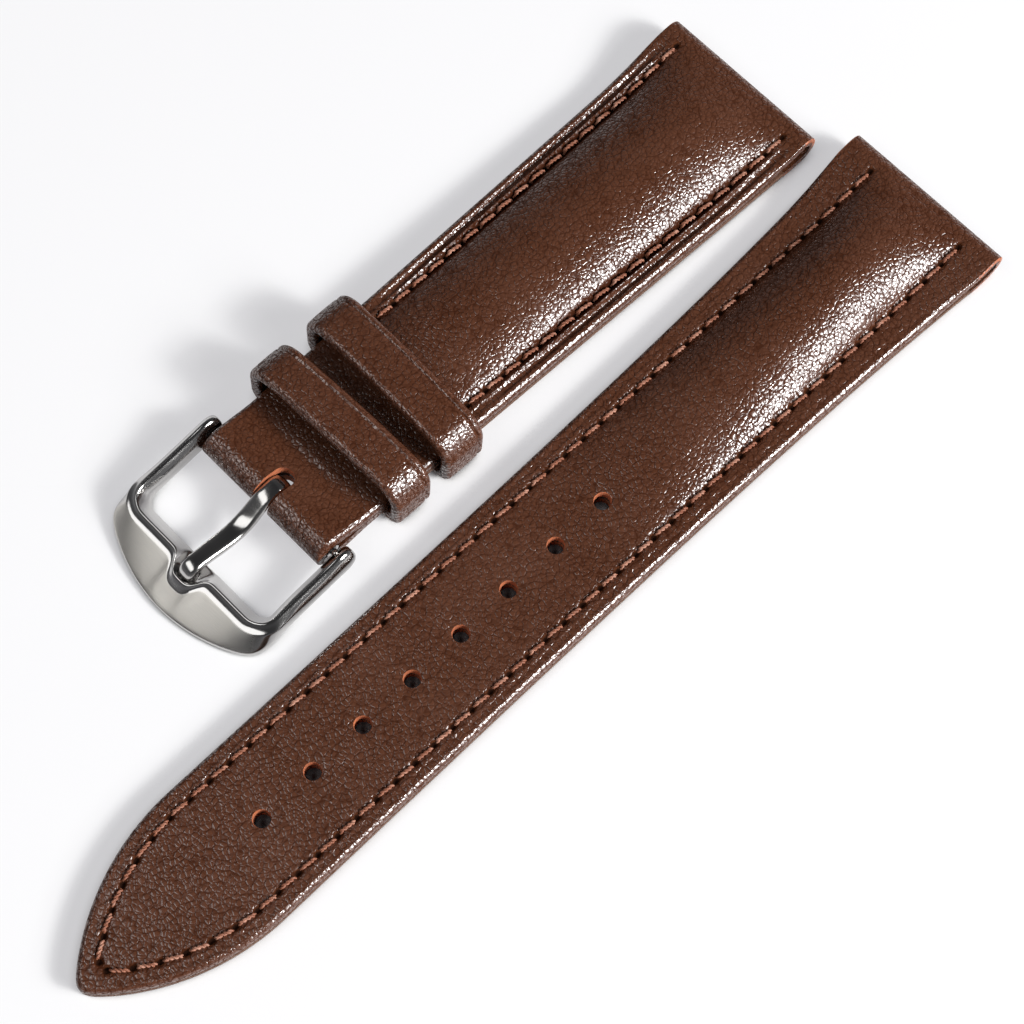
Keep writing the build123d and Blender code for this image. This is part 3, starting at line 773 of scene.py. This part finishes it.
def stitches(name, spots, half_length, sink, face, seat):
    """Twisted stitches at spots of (across, along, height, slope, turn); face is 1 or -1 for
    up or down."""
    share = np.linspace(-1, 1, 15)
    dive = (np.maximum(np.abs(share) - 0.6, 0) / 0.4) ** 2
    line = np.stack([share * half_length, needle_lift - sink * dive], -1)
    tangent = np.gradient(line, axis=0)
    tangent /= np.linalg.norm(tangent, axis=1)[:, None]
    ring = np.arange(8) * pi / 4
    points, faces = [], []
    for across, along, height, slope, turn in spots:
        for ply in (0.0, pi):
            twist = ply + share * ply_turns * pi + along
            side = ply_twist_radius * np.cos(twist)[:, None] + ply_radius * np.cos(ring)
            lift = ply_twist_radius * np.sin(twist)[:, None] + ply_radius * np.sin(ring)
            run = line[:, 0][:, None] - tangent[:, 1][:, None] * lift
            up = line[:, 1][:, None] + tangent[:, 0][:, None] * lift
            x = across + side * cos(turn) - run * sin(turn)
            y = along + side * sin(turn) + run * cos(turn)
            z = height + face * up + slope * (y - along)
            base = len(points) * x.size
            points.append(np.stack([x, y, z], -1).reshape(-1, 3))
            index = base + np.arange(x.size).reshape(x.shape)
            faces += tube_faces(index) + [index[0, ::-1].tolist(), index[-1].tolist()]
    piece = new_object(name, placed(np.concatenate(points), *seat), faces, thread)
    faces_outwards(piece)
    smooth(piece, 60.0)
    return piece


def border_slope(place):
    return float(border_height(np.array([place + 0.1]))[0]
                 - border_height(np.array([place - 0.1]))[0]) / 0.2


def long_spots():
    """Right and left rows, which follow the edge round the point."""
    row_radius = tip_radius - (tip_half - long_row_half)
    centre_across = tip_half - tip_radius
    straight = tip_start - first_stitch
    to_point = atan2(sqrt(row_radius ** 2 - centre_across ** 2), -centre_across) * row_radius
    spots = []
    for step in range(int((straight + to_point) / stitch_pitch + 0.6)):
        run = step * stitch_pitch
        spot = (long_row_half, first_stitch + run, 0.0)
        if run > straight:
            turn = (run - straight) / row_radius
            spot = (centre_across + row_radius * cos(turn),
                    tip_start + row_radius * sin(turn), turn)
        spots.append(spot)
    return spots


def needle_spots(spots):
    """Each spot on both sides, on the sewn channel's floor and slanted."""
    return [(side * across, along,
             float(border_height(np.array([along]))[0]) - channel_depth,
             border_slope(along), side * turn + radians(stitch_slant))
            for across, along, turn in spots for side in (1, -1)]


def bobbin_spots(spots):
    """The same spots, bedded in the groove under the lining."""
    return [(side * across, along, bobbin_groove + bobbin_lift, 0.0, side * turn)
            for across, along, turn in spots if along > bobbin_start for side in (1, -1)]


long_stitches = stitches("long_stitches", needle_spots(long_spots()), stitch_half, needle_sink, 1,
                         long_seat)
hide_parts("long_needle_thread")
long_bobbin = stitches("long_bobbin_stitches", bobbin_spots(long_spots()), bobbin_half,
                       bobbin_sink, -1, long_seat)
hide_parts("long_bobbin_thread")
for piece in (long_stitches, long_bobbin):
    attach(piece, "long_strap")

# Short cover
# The upper leather of the short piece: the same calf, turned under at the lug end, and at
# the other end turned round the buckle's bar, back under itself and slit for the tongue.
short_low, short_high = (np.array(corner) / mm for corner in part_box("short_upper"))
bar_low, bar_high = (np.array(corner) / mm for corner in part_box("spring_bar_tube"))
bar_y, bar_z = (bar_low[1:] + bar_high[1:]) / 2
bar_place = 68.0
bar_height = 1.1
short_length = 70.0
fold_half = 8.35
fold_radius = 2.0
fold_hollow = 0.85
fold_start = 63.4
turned_end = 57.0
short_tilt = asin(bar_z / hypot(bar_place, bar_height)) - atan2(bar_height, bar_place)
short_origin = ((short_low[0] + short_high[0]) / 2,
                bar_y + bar_place * cos(short_tilt) - bar_height * sin(short_tilt), 0.0)
short_seat = (short_origin, short_tilt)
short_row_inset = 2.3
short_groove = (1.12, 0.08, 0.32)
short_ridge = (1.62, 0.04, 0.12)
short_last_stitch = 48.6
short_tape_end = 59.0
short_rise_places = (1.0, 2.6, 4.4, 7.0, 11.0, 18.6, 29.0, 38.0, 44.0, 49.0, 53.5)
short_rises = (0.0, 0.3, 0.9, 1.75, 2.45, 2.4, 2.15, 1.8, 1.45, 0.9, 0.15)
slot_half = 1.12
slot_reach = 2.45
slot_low, slot_high, slot_past = -4.0, 7.0, 3.0     # the cutter's ends below, above and in front
rubbed_place, rubbed_width = 69.3, 0.6              # where the fold is worn by the buckle


def short_half(along):
    share = np.clip(along, straight_end, short_length) - straight_end
    return lug_half - (lug_half - fold_half) * share / (short_length - straight_end)


along, up, lean_along, lean_up, thickness, on_roll = rolled_stations(fold_start - station_step)
under = (along > turned_end) & (on_roll < 0.5)
inner_along = along - lean_along * thickness
inner_up = np.where(under, bar_height + 0.03, up - lean_up * thickness)
first_angle = pi - atan2(bar_height, bar_place - fold_start) - acos(
    fold_radius / hypot(bar_place - fold_start, bar_height))
angles = np.linspace(first_angle, -first_angle, 30)
arc_along = bar_place + fold_radius * np.cos(angles)
arc_up = bar_height + fold_radius * np.sin(angles)
line = np.linspace(0, 1, 10)[:-1]
line_along = fold_start + (arc_along[0] - fold_start) * line
line_up = edge_height + (arc_up[0] - edge_height) * (line * 0.75 + 0.25 * line ** 2)
line_inner = np.interp(line_along, (fold_start, 64.8, bar_place - 0.17),
                       (bar_height + 0.03, bar_height + 0.12, bar_height + 0.83))
back = np.linspace(fold_start, turned_end, 20)
along = np.concatenate([along, line_along, arc_along, line_along[::-1], back[1:]])
up = np.concatenate([up, line_up, arc_up, 2 * bar_height - line_up[::-1], 0 * back[1:]])
inner_along = np.concatenate([inner_along, line_along,
                              bar_place + fold_hollow * np.cos(angles), line_along[::-1],
                              back[1:]])
inner_up = np.concatenate([inner_up, line_inner, bar_height + fold_hollow * np.sin(angles),
                           2 * bar_height - line_inner[::-1], 0 * back[1:] + bar_height - 0.03])
lean_along = np.concatenate([lean_along, 0 * line, np.cos(angles), 0 * line, 0 * back[1:]])
lean_up = np.concatenate([lean_up, 0 * line + 1, np.sin(angles), 0 * line - 1, 0 * back[1:] - 1])
on_roll = np.concatenate([on_roll, 0 * line, 0 * angles, 0 * line, 0 * back[1:]])
on_fold = np.concatenate([np.zeros(len(on_roll) - len(line) * 2 - len(angles) - len(back) + 1),
                          0 * line + 1, 0 * angles + 1, 0 * line + 1, 0 * back[1:] + 1])
half = short_half(along)
row_depth = np.full_like(half, short_row_inset)
depth = column_depths(half, row_depth)
across = half[:, None] - depth
along, up, inner_along, inner_up, lean_along, lean_up, on_roll, on_fold, row_depth = (
    values[:, None] for values in (along, up, inner_along, inner_up, lean_along, lean_up,
                                   on_roll, on_fold, row_depth))
place = along + 0 * across
on_top = (1 - on_roll) * (1 - on_fold)
rounding = np.maximum(
    on_top * eased(place, (4.0, 9.0), (cut_rounding, edge_rounding)),
    on_fold * np.maximum(lean_up, 0) * edge_rounding) + on_roll * cut_rounding
rounding = np.maximum(rounding, cut_rounding)
sewn = on_top * eased(place, (2.6, 4.4, 47.5, 51.0), (0.0, 1.0, 1.0, 0.0))
run = np.where(on_top > 0, place, before_sewing)
detail, needle = surface_detail(depth, run, row_depth, short_groove, short_ridge, rounding,
                                sewn, short_last_stitch)
arch = on_top * crown(across, half[:, None] - short_row_inset,
                      eased(place, short_rise_places, short_rises))
lift = detail + arch
outer = np.stack([across, place + lean_along * lift, up + lean_up * lift], -1)
on_tape = (across < tape_half + 0.2) & (place < short_tape_end + 0.1)
layer_top = np.maximum(inner_up, up + arch - leather_thickness)
layer_top = np.maximum(layer_top, np.where(on_tape, tape_top + 0.03, 0))
turned_top = np.where(on_tape, lining_top - 0.06, inner_up)
inner_high = np.where(on_top > 0, layer_top,
                      np.where((on_fold > 0) & (along < fold_start), turned_top, inner_up))
inner = np.stack([across, inner_along + 0 * across, inner_high], -1)
raw = (on_roll > 0) * (depth < raw_width) * 1.0
rubbed = on_fold * np.exp(-((place - rubbed_place) / rubbed_width) ** 2)
short_cover = closed_sheet("short_cover", whole(outer), whole(inner), short_seat, brown_calf,
                           cover_fields(depth, row_depth, sewn, needle, raw, rubbed))


def slot_cutter():
    """Upright block with a rounded rear end, open at the front of the fold."""
    round_place = bar_place - slot_reach + slot_half
    turn = np.linspace(0, pi, 17)
    outline = np.stack([slot_half * np.cos(turn), round_place - slot_half * np.sin(turn)], -1)
    front = short_length + slot_past
    outline = np.vstack([[slot_half, front], outline, [-slot_half, front]])
    count = len(outline)
    points = np.vstack([np.column_stack([outline, np.full(count, height)])
                        for height in (slot_low, slot_high)])
    faces = [(step, (step + 1) % count, count + (step + 1) % count, count + step)
             for step in range(count)]
    faces += [list(range(count)), list(range(count, 2 * count))[::-1]]
    return placed(points, *short_seat), faces


cut(short_cover, *slot_cutter())
smooth(short_cover)
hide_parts("short_upper")
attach(short_cover, "short_strap")

# Short lining, filler and tape
# As in the long piece: a split-leather lining, which ends where the turned cover's end meets
# it, and a thinner filler on a woven tape that runs on into the turned end.
first_row = first_station(lining_start)
last_row = first_station(turned_end)
lining_place = place[first_row:last_row].copy()
lining_place[0] = lining_start
lining_place[-1] = turned_end - 0.04
short_lining = lining_sheet("short_underside", across[first_row:last_row], lining_place,
                            depth[first_row:last_row], row_depth[first_row:last_row],
                            eased(lining_place, (46.5, 48.5), (1.0, 0.0)), short_seat,
                            far_cap=True)
smooth(short_lining)
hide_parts("short_lining")
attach(short_lining, "short_strap")
short_filler = filler_pad("short_filler", lambda s: short_half(s) - short_row_inset,
                          lambda s: eased(s, short_rise_places, short_rises), short_pad_length,
                          short_seat)
smooth(short_filler)
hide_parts("short_padding")
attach(short_filler, "short_strap")
short_tape = tape_strip("short_tape", short_tape_end, short_seat)
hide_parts("short_reinforcement")
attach(short_tape, "short_strap")

# Short stitches
# The same waxed thread, in two rows that converge with the taper and stop before the keepers.
# The bobbin thread lies straight in the lining's groove underneath.
taper = atan2(lug_half - fold_half, short_length - straight_end)


def short_spots():
    spots = []
    place = first_stitch
    while place < short_last_stitch - stitch_pitch / 2:
        spots.append((float(short_half(place)) - short_row_inset, place, taper))
        place += stitch_pitch
    return spots


short_stitches = stitches("short_stitches", needle_spots(short_spots()), stitch_half,
                          needle_sink, 1, short_seat)
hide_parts("short_needle_thread")
short_bobbin = stitches("short_bobbin_stitches", bobbin_spots(short_spots()), bobbin_half,
                        bobbin_sink, -1, short_seat)
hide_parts("short_bobbin_thread")
for piece in (short_stitches, short_bobbin):
    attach(piece, "short_strap")

# Keepers
# Two loops of the same calf for the strap's tail: one slides, one is glued in its place by
# the buckle. The leather is folded in at both rims over a thin smooth lining.
keeper_half = 9.0934
keeper_room = 4.8
keeper_arch = 0.5
keeper_thickness = 1.4
keeper_lining_thickness = 0.45
keeper_margin = 0.7
keeper_inner_corner = 1.7
keeper_foot_corner = 0.35
free_keeper_place, free_keeper_width, free_keeper_skew = 49.2, 5.2, 0.013
fixed_keeper_place, fixed_keeper_width, fixed_keeper_skew = 56.8, 4.8, -0.032
free_keeper_floor, fixed_keeper_floor = -0.06, 0.0
keeper_rim = 0.62
keeper_fullness = 0.05
crease_place, crease_depth, crease_width = 0.9, 0.16, 0.13
rim_rub, rim_rub_width, rubbed_height = 0.3, 0.35, 0.8
keeper_grey = (0.03, 0.034, 0.03, 1.0)
keeper_grey_deep = (0.015, 0.017, 0.015, 1.0)
keeper_grey_light = (0.06, 0.066, 0.06, 1.0)


def keeper_loop(floor):
    """Inner face of a keeper: points (across, height) and their outward directions."""
    arch_radius = (keeper_half ** 2 + keeper_arch ** 2) / (2 * keeper_arch)
    top_centre = keeper_room - arch_radius
    inner_radius = arch_radius - keeper_inner_corner
    corner_x = keeper_half - keeper_inner_corner
    corner_z = top_centre + sqrt(inner_radius ** 2 - corner_x ** 2)
    lean = asin(corner_x / inner_radius)
    turn = np.linspace(0, lean, 14)
    top = [(arch_radius * sin(angle), top_centre + arch_radius * cos(angle),
            sin(angle), cos(angle)) for angle in turn]
    turn = np.linspace(lean, pi / 2, 10)[1:]
    corner = [(corner_x + keeper_inner_corner * sin(angle),
               corner_z + keeper_inner_corner * cos(angle), sin(angle), cos(angle))
              for angle in turn]
    foot_x = keeper_half - keeper_foot_corner
    foot_z = floor + keeper_foot_corner
    wall = [(keeper_half, height, 1.0, 0.0) for height in
            np.linspace(corner_z, foot_z, 7)[1:-1]]
    turn = np.linspace(pi / 2, pi, 9)
    foot = [(foot_x + keeper_foot_corner * sin(angle), foot_z + keeper_foot_corner * cos(angle),
             sin(angle), cos(angle)) for angle in turn]
    bottom = [(across, floor, 0.0, -1.0) for across in np.linspace(foot_x, 0, 10)[1:]]
    right = np.array(top + corner + wall + foot + bottom)
    left = right[-2:0:-1] * (-1, 1, -1, 1)
    return np.vstack([right, left])


def keeper_band(name, start, skew, floor, profile, finish):
    """Band swept round the loop from a closed profile of (thickness, distance along)."""
    loop = keeper_loop(floor)
    profile = np.asarray(profile, float)
    rings, count = len(loop), len(profile)
    points = np.stack([
        loop[:, 0, None] + loop[:, 2, None] * profile[None, :, 0],
        start + skew * loop[:, 0, None] + profile[None, :, 1],
        loop[:, 1, None] + loop[:, 3, None] * profile[None, :, 0]], -1).reshape(-1, 3)
    index = np.arange(rings * count).reshape(rings, count)
    from_rear = profile[:, 1] - profile[:, 1].min()
    from_front = profile[:, 1].max() - profile[:, 1]
    rubbed = sum(np.exp(-((place - rim_rub) / rim_rub_width) ** 2)
                 for place in (from_rear, from_front))
    worn = np.tile(rubbed * (profile[:, 0] >= rubbed_height), rings)
    fields = {"worn": worn, "edge": 0 * worn, "raw": 0 * worn, "needle": 0 * worn}
    made = new_object(name, placed(points, *short_seat),
                      tube_faces(np.vstack([index, index[:1]])), finish, fields)
    faces_outwards(made)
    smooth(made)
    return made


def keeper_profile(width):
    """Rounded rims, a slightly full outer face and a fine crease near the rear rim."""
    rim = keeper_rim
    turn = np.linspace(-pi / 2, pi / 2, 13)
    middle = keeper_thickness / 2
    rear = [(middle + middle * sin(angle), rim - rim * cos(angle)) for angle in turn]
    face = []
    for place in np.linspace(rim, width - rim, 34)[1:-1]:
        full = keeper_fullness * sin(pi * (place - rim) / (width - 2 * rim))
        crease = crease_depth * np.exp(-((place - crease_place) / crease_width) ** 2)
        face.append((keeper_thickness + full - crease, place))
    front = [(middle - middle * sin(angle), width - rim + rim * cos(angle)) for angle in turn]
    bed = [(0.0, width - keeper_margin), (keeper_lining_thickness, width - keeper_margin),
           (keeper_lining_thickness, keeper_margin), (0.0, keeper_margin)]
    return rear + face + front + bed


def lining_profile(width):
    low, high = keeper_margin + 0.02, width - keeper_margin - 0.02
    top = keeper_lining_thickness - 0.01
    return [(0.0, low), (top, low), (top, high), (0.0, high)]


smooth_grey = leather("smooth grey keeper lining", keeper_grey, keeper_grey_deep,
                      keeper_grey_light, pebble=0.4, grain_depth=0.015, polish=0.45, gloss=0.5)
for name, start, width, skew, floor, body in (
        ("free_keeper", free_keeper_place, free_keeper_width, free_keeper_skew,
         free_keeper_floor, "free_keeper"),
        ("fixed_keeper", fixed_keeper_place, fixed_keeper_width, fixed_keeper_skew,
         fixed_keeper_floor, "short_strap")):
    band = keeper_band(name + "_loop", start, skew, floor, keeper_profile(width), brown_calf)
    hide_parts(name + "_cover")
    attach(band, body)
    bed = keeper_band(name + "_inside", start, skew, floor, lining_profile(width), smooth_grey)
    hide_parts(name + "_lining")
    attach(bed, body)

# Buckle frame
# Cast steel: two rounded arms drilled for the spring bar and a crescent front. A polished
# ridge and band run round the window and the tongue's notch, and the crescent is brushed.
window_half = 8.5645
arm_width = 2.1
window_reach = 9.5
window_corner = 1.2
front_reach = 15.9
front_sag = 3.4
front_corner = 2.2
frame_half_height = 1.2
notch_reach = 11.3
notch_radius = 1.12
notch_floor = -0.3
notch_groove_floor = 0.5
frame_droop = asin(bar_z / hypot(front_reach, frame_half_height)) - atan2(frame_half_height,
                                                                          front_reach)
plate_section = ((0, -1.2), (0, -0.85), (0.5, 0.15), (0.98, 1.04), (1.1, 1.19), (1.28, 1.13),
                 (1.62, 0.86), (2.1, 0.74), (2.22, 0.72), (4.2, 0.16), (6.1, -0.44),
                 (6.36, -0.62), (6.4, -1.02), (6.15, -1.2), (3.2, -1.2))
arm_section = ((0.35, -1.15), (0.02, -0.75), (0.05, 0.05), (0.7, 0.98), (1.06, 1.2),
               (1.3, 1.14), (1.56, 0.94), (1.8, 0.6), (1.9, 0.4), (2.03, 0.05), (2.1, -0.35),
               (2.08, -0.7), (2.0, -0.95), (1.7, -1.15), (1.0, -1.2))
slope_places, slope_heights = zip(*plate_section[7:11])
slope_start = 2.22
plate_width = 6.4
full_plate = 0.94           # the share of plate from which a section counts as the crescent's
satin_nodes = (8, 9, 10)
satin_reach, satin_fade = 9.6, 3.2
band_bulge = 1.9            # the ridge is so much wider by the notch
bulge_half = 1.85
bulge_sink = 0.12
tip_hole_radius, tip_hole_start, tip_hole_end = 0.43, -0.2, 1.25
polished_colour = (0.52, 0.51, 0.5, 1.0)
brushed_colour = (0.6, 0.575, 0.53, 1.0)


def steel(name, polished, brushed):
    """Polished steel, and fine parallel scratches where it is brushed."""
    material, paint = new_material(name)
    place = paint.node("TexCoord", out="Object")
    satin = paint.node("Attribute", {"attribute_name": "satin"}, out="Fac").step(0.1, 0.9)
    drawn = paint.node("Mapping", {}, {"Vector": place, "Scale": (0.04, 1.0, 1.0)})
    scratches = noise(paint, drawn, 0.06, 3.0)
    smears = noise(paint, place, 2.5, 3.0)
    hairlines = noise(paint, paint.node("Mapping", {}, {
        "Vector": place, "Rotation": (0.0, 0.0, 0.7), "Scale": (0.05, 1.0, 1.0)}), 0.05, 2.0)
    colour = satin.blend(polished, brushed)
    colour = (scratches.step(0.35, 0.7) * satin * 0.25).blend(colour, polished)
    rough = 0.11 + smears * 0.06 + satin * (0.2 + scratches * 0.12)
    plain_surface(paint, colour, rough, satin * scratches + hairlines * 0.06, 0.012, metallic=1.0)
    return material


buckle_steel = steel("polished and brushed steel", polished_colour, brushed_colour)


def in_buckle(across, reach, height):
    """Places in the row from the buckle's own: across, out from the bar and up."""
    return np.stack([short_origin[0] + across,
                     bar_y - reach * cos(frame_droop) - height * sin(frame_droop),
                     bar_z - reach * sin(frame_droop) + height * cos(frame_droop)], -1)


def front_outline():
    """Right half of the frame's outline, from the arm's side round to the middle."""
    half = window_half + arm_width
    radius = (half ** 2 + front_sag ** 2) / (2 * front_sag)
    centre = front_reach - radius
    reach_in = radius - front_corner
    corner_across = half - front_corner
    corner_reach = centre + sqrt(reach_in ** 2 - corner_across ** 2)
    meet = atan2(corner_reach - centre, corner_across)
    side = [(half, reach) for reach in np.linspace(6.0, corner_reach, 20)]
    corner = [(corner_across + front_corner * cos(turn), corner_reach + front_corner * sin(turn))
              for turn in np.linspace(0, meet, 20)[1:]]
    front = [(radius * cos(turn), centre + radius * sin(turn))
             for turn in np.linspace(meet, pi / 2, 60)[1:]]
    return np.array(side + corner + front)


def frame_stations():
    """Inner and outer point of each section of the right half, and how it is shaped."""
    stations = []
    for reach, height, inset in ((-1.37, 0.2, 0.62), (-1.27, 0.5, 0.36), (-1.0, 0.8, 0.16),
                                 (-0.5, 1.05, 0.04), (0.0, 1.14, 0.0), (0.7, 1.12, 0.0),
                                 (1.6, 1.04, 0.0), (2.6, 1.0, 0.0), (4.4, 1.0, 0.0),
                                 (6.2, 1.0, 0.0), (7.3, 1.0, 0.0)):
        plate = 0.12 if reach > 7 else 0.0
        stations.append((window_half + inset, reach, window_half + arm_width - inset, reach,
                         height, plate))
    outline = front_outline()
    middle = np.array([window_half - window_corner, window_reach - window_corner])
    away = outline - middle
    angles, lengths = np.arctan2(away[:, 1], away[:, 0]), np.hypot(away[:, 0], away[:, 1])
    for turn in np.radians((0, 14, 28, 42, 56, 70, 80)):
        aim = np.array([cos(turn), sin(turn)])
        inner = middle + window_corner * aim
        outer = middle + float(np.interp(turn, angles, lengths)) * aim
        plate = float(np.interp(turn, np.radians((0, 20, 45, 60)), (0.3, 0.7, 0.95, 1.0)))
        stations.append((inner[0], inner[1], outer[0], outer[1], 1.0, plate))
    for across in (middle[0], 6.2, 4.9, 3.9, 3.2, 2.7, 2.35, 2.1, 1.9, 1.7, 1.5, 1.3, 1.1, 0.8,
                   0.4, 0.0):
        reach = float(np.interp(across, outline[::-1, 0], outline[::-1, 1]))
        stations.append((across, window_reach, across, reach, 1.0, 1.0))
    return stations


points, satin = [], []
for in_across, in_reach, out_across, out_reach, height, plate in frame_stations():
    width = hypot(out_across - in_across, out_reach - in_reach)
    bulge = band_bulge * np.exp(-(in_across / bulge_half) ** 4) if in_reach >= window_reach else 0.0
    for node, ((plate_q, plate_z), (arm_q, arm_z)) in enumerate(zip(plate_section, arm_section)):
        if 2 <= node <= 8:
            plate_q = plate_q + bulge * min(1.0, plate_q)
            plate_z -= bulge_sink * bulge * (2 < node < 7)
        if plate_q > slope_start and node > 8:
            start = slope_start + bulge
            plate_q = start + (plate_q - slope_start) * (width - start) / (plate_width - slope_start)
        if 7 <= node <= 10:
            slope_z = float(np.interp(plate_q, slope_places, slope_heights))
            plate_z += (slope_z - plate_z) * bulge / band_bulge
        q = plate * plate_q + (1 - plate) * arm_q * width / arm_width
        z = plate * plate_z + (1 - plate) * arm_z * height
        share = q / width
        points.append((in_across + (out_across - in_across) * share,
                       in_reach + (out_reach - in_reach) * share, z))
        brushed = (node in satin_nodes and plate > full_plate) * 1.0
        satin.append((brushed * np.clip((satin_reach - in_across) / satin_fade, 0, 1), brushed))
points = np.array(points)
count = len(plate_section)
index = np.arange(len(points)).reshape(-1, count)
left = np.vstack([index[:-1] + len(points), index[-1:]])
faces = tube_faces(index) + [index[0, ::-1].tolist()]
faces += [face[::-1] for face in tube_faces(left)] + [left[0].tolist()]
both = np.vstack([points, points * (-1, 1, 1)])
frame_piece = new_object("buckle_frame_body", in_buckle(*both.T), faces, buckle_steel,
                         {"satin": np.array(satin).T.ravel()})
faces_outwards(frame_piece)
modifier = frame_piece.modifiers.new("round", "SUBSURF")
modifier.levels = modifier.render_levels = 3
settle(frame_piece)


def press_notch(piece):
    """Presses the tongue's groove and notch into the front's ridge."""
    mesh = piece.data
    places = np.empty(len(mesh.vertices) * 3)
    mesh.vertices.foreach_get("co", places)
    places = places.reshape(-1, 3) / mm
    across = places[:, 0] - short_origin[0]
    back, up = bar_y - places[:, 1], places[:, 2] - bar_z
    reach = back * cos(frame_droop) - up * sin(frame_droop)
    height = back * sin(frame_droop) + up * cos(frame_droop)
    from_notch = np.hypot(across, np.maximum(reach - notch_reach, 0))
    in_groove = np.clip((notch_radius + 0.1 - from_notch) / 0.25, 0, 1)
    in_groove = in_groove ** 2 * (3 - 2 * in_groove) * (reach > window_reach - 0.5)
    from_middle = np.hypot(across, reach - notch_reach)
    in_notch = np.clip((notch_radius - from_middle) / 0.25, 0, 1)
    floor = notch_groove_floor + (notch_floor - notch_groove_floor) * in_notch
    height = height - in_groove * np.maximum(height - floor, 0)
    mesh.vertices.foreach_set("co", (in_buckle(across, reach, height) * mm).ravel())


press_notch(frame_piece)


def bar_hole(side):
    """Blind hole in an arm for the spring bar's tip."""
    ring, ring_faces = lathe([(tip_hole_radius, tip_hole_start), (tip_hole_radius, tip_hole_end)],
                             24)
    return in_buckle(side * (window_half + ring[:, 2]), ring[:, 0], ring[:, 1]), ring_faces


for side in (1, -1):
    cut(frame_piece, *bar_hole(side), buckle_steel)
smooth(frame_piece, 50.0)
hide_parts("buckle_frame")
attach(frame_piece, "buckle_frame")

# Tongue
# A flat-topped steel bar bent in a shallow S: one end is rolled round the spring bar, the
# other is a rounded bulb that rests in the frame's notch.
tongue_width = 1.9
tongue_satin = 0.28
ring_middle = 1.28
ring_thickness = 0.9
tongue_line = ((1.1, 1.2, 1.96, 0.95), (2.3, 0.66, 2.02, 1.0), (3.7, 0.04, 2.08, 1.02),
               (5.2, -0.2, 2.08, 1.05), (6.8, 0.1, 2.04, 1.08), (8.4, 0.66, 1.96, 1.1),
               (9.7, 1.1, 1.86, 1.12), (10.45, 1.26, 1.92, 1.18), (11.0, 1.14, 1.96, 1.26),
               (11.42, 0.84, 1.92, 1.26), (11.72, 0.5, 1.76, 1.1), (11.9, 0.28, 1.44, 0.8),
               (11.98, 0.18, 0.9, 0.45), (12.0, 0.15, 0.4, 0.2))
section_nodes = 24
section_squareness = 0.72


def tongue_path():
    """Middle line with the width and thickness at each point: rolled end first."""
    turn = np.radians(np.linspace(-38, -262, 18))
    ring = np.stack([ring_middle * np.cos(turn), ring_middle * np.sin(turn),
                     0 * turn + tongue_width, 0 * turn + ring_thickness], -1)
    rows = np.vstack([ring, tongue_line])
    fine = []
    for step in range(len(rows) - 1):
        before = rows[max(step - 1, 0)]
        after = rows[min(step + 2, len(rows) - 1)]
        here, there = rows[step], rows[step + 1]
        for share in np.arange(0, 1, 0.25):
            curve = 2 * here + (there - before) * share
            curve += (2 * before - 5 * here + 4 * there - after) * share ** 2
            curve += (3 * here - before - 3 * there + after) * share ** 3
            fine.append(curve / 2)
    return np.vstack([fine, rows[-1:]])


path = tongue_path()
run = np.gradient(path[:, :2], axis=0)
run /= np.linalg.norm(run, axis=1)[:, None]
turn = np.arange(section_nodes) * 2 * pi / section_nodes
sides = np.sign(np.cos(turn)) * np.abs(np.cos(turn)) ** section_squareness
lifts = np.sign(np.sin(turn)) * np.abs(np.sin(turn)) ** section_squareness
across = path[:, 2, None] / 2 * sides
reach = path[:, 0, None] - run[:, 1, None] * path[:, 3, None] / 2 * lifts
height = path[:, 1, None] + run[:, 0, None] * path[:, 3, None] / 2 * lifts
index = np.arange(across.size).reshape(across.shape)
faces = tube_faces(index) + [index[0, ::-1].tolist(), index[-1].tolist()]
tongue = new_object("buckle_tongue_bar", in_buckle(across.ravel(), reach.ravel(), height.ravel()),
                    faces, buckle_steel, {"satin": np.full(across.size, tongue_satin)})
faces_outwards(tongue)
smooth(tongue, 60.0)
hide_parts("buckle_tongue")
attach(tongue, "buckle_tongue")

# Spring bar
# The turned steel tube, its two sprung tips and the coil between them keep the CAD's exact
# shapes, and only their finishes are set here.
turned_colour, turned_dull = (0.47, 0.46, 0.45, 1.0), (0.4, 0.4, 0.4, 1.0)
wire_colour, wire_dull = (0.35, 0.34, 0.33, 1.0), (0.3, 0.3, 0.3, 1.0)
bar_steel = steel("turned steel", turned_colour, turned_dull)
spring_steel = steel("drawn spring wire", wire_colour, wire_dull)
for name, finish in (("spring_bar_tube", bar_steel), ("spring_bar_tip_left", bar_steel),
                     ("spring_bar_tip_right", bar_steel), ("spring_bar_coil", spring_steel)):
    for slot in bpy.data.objects[name].material_slots:
        slot.material = finish
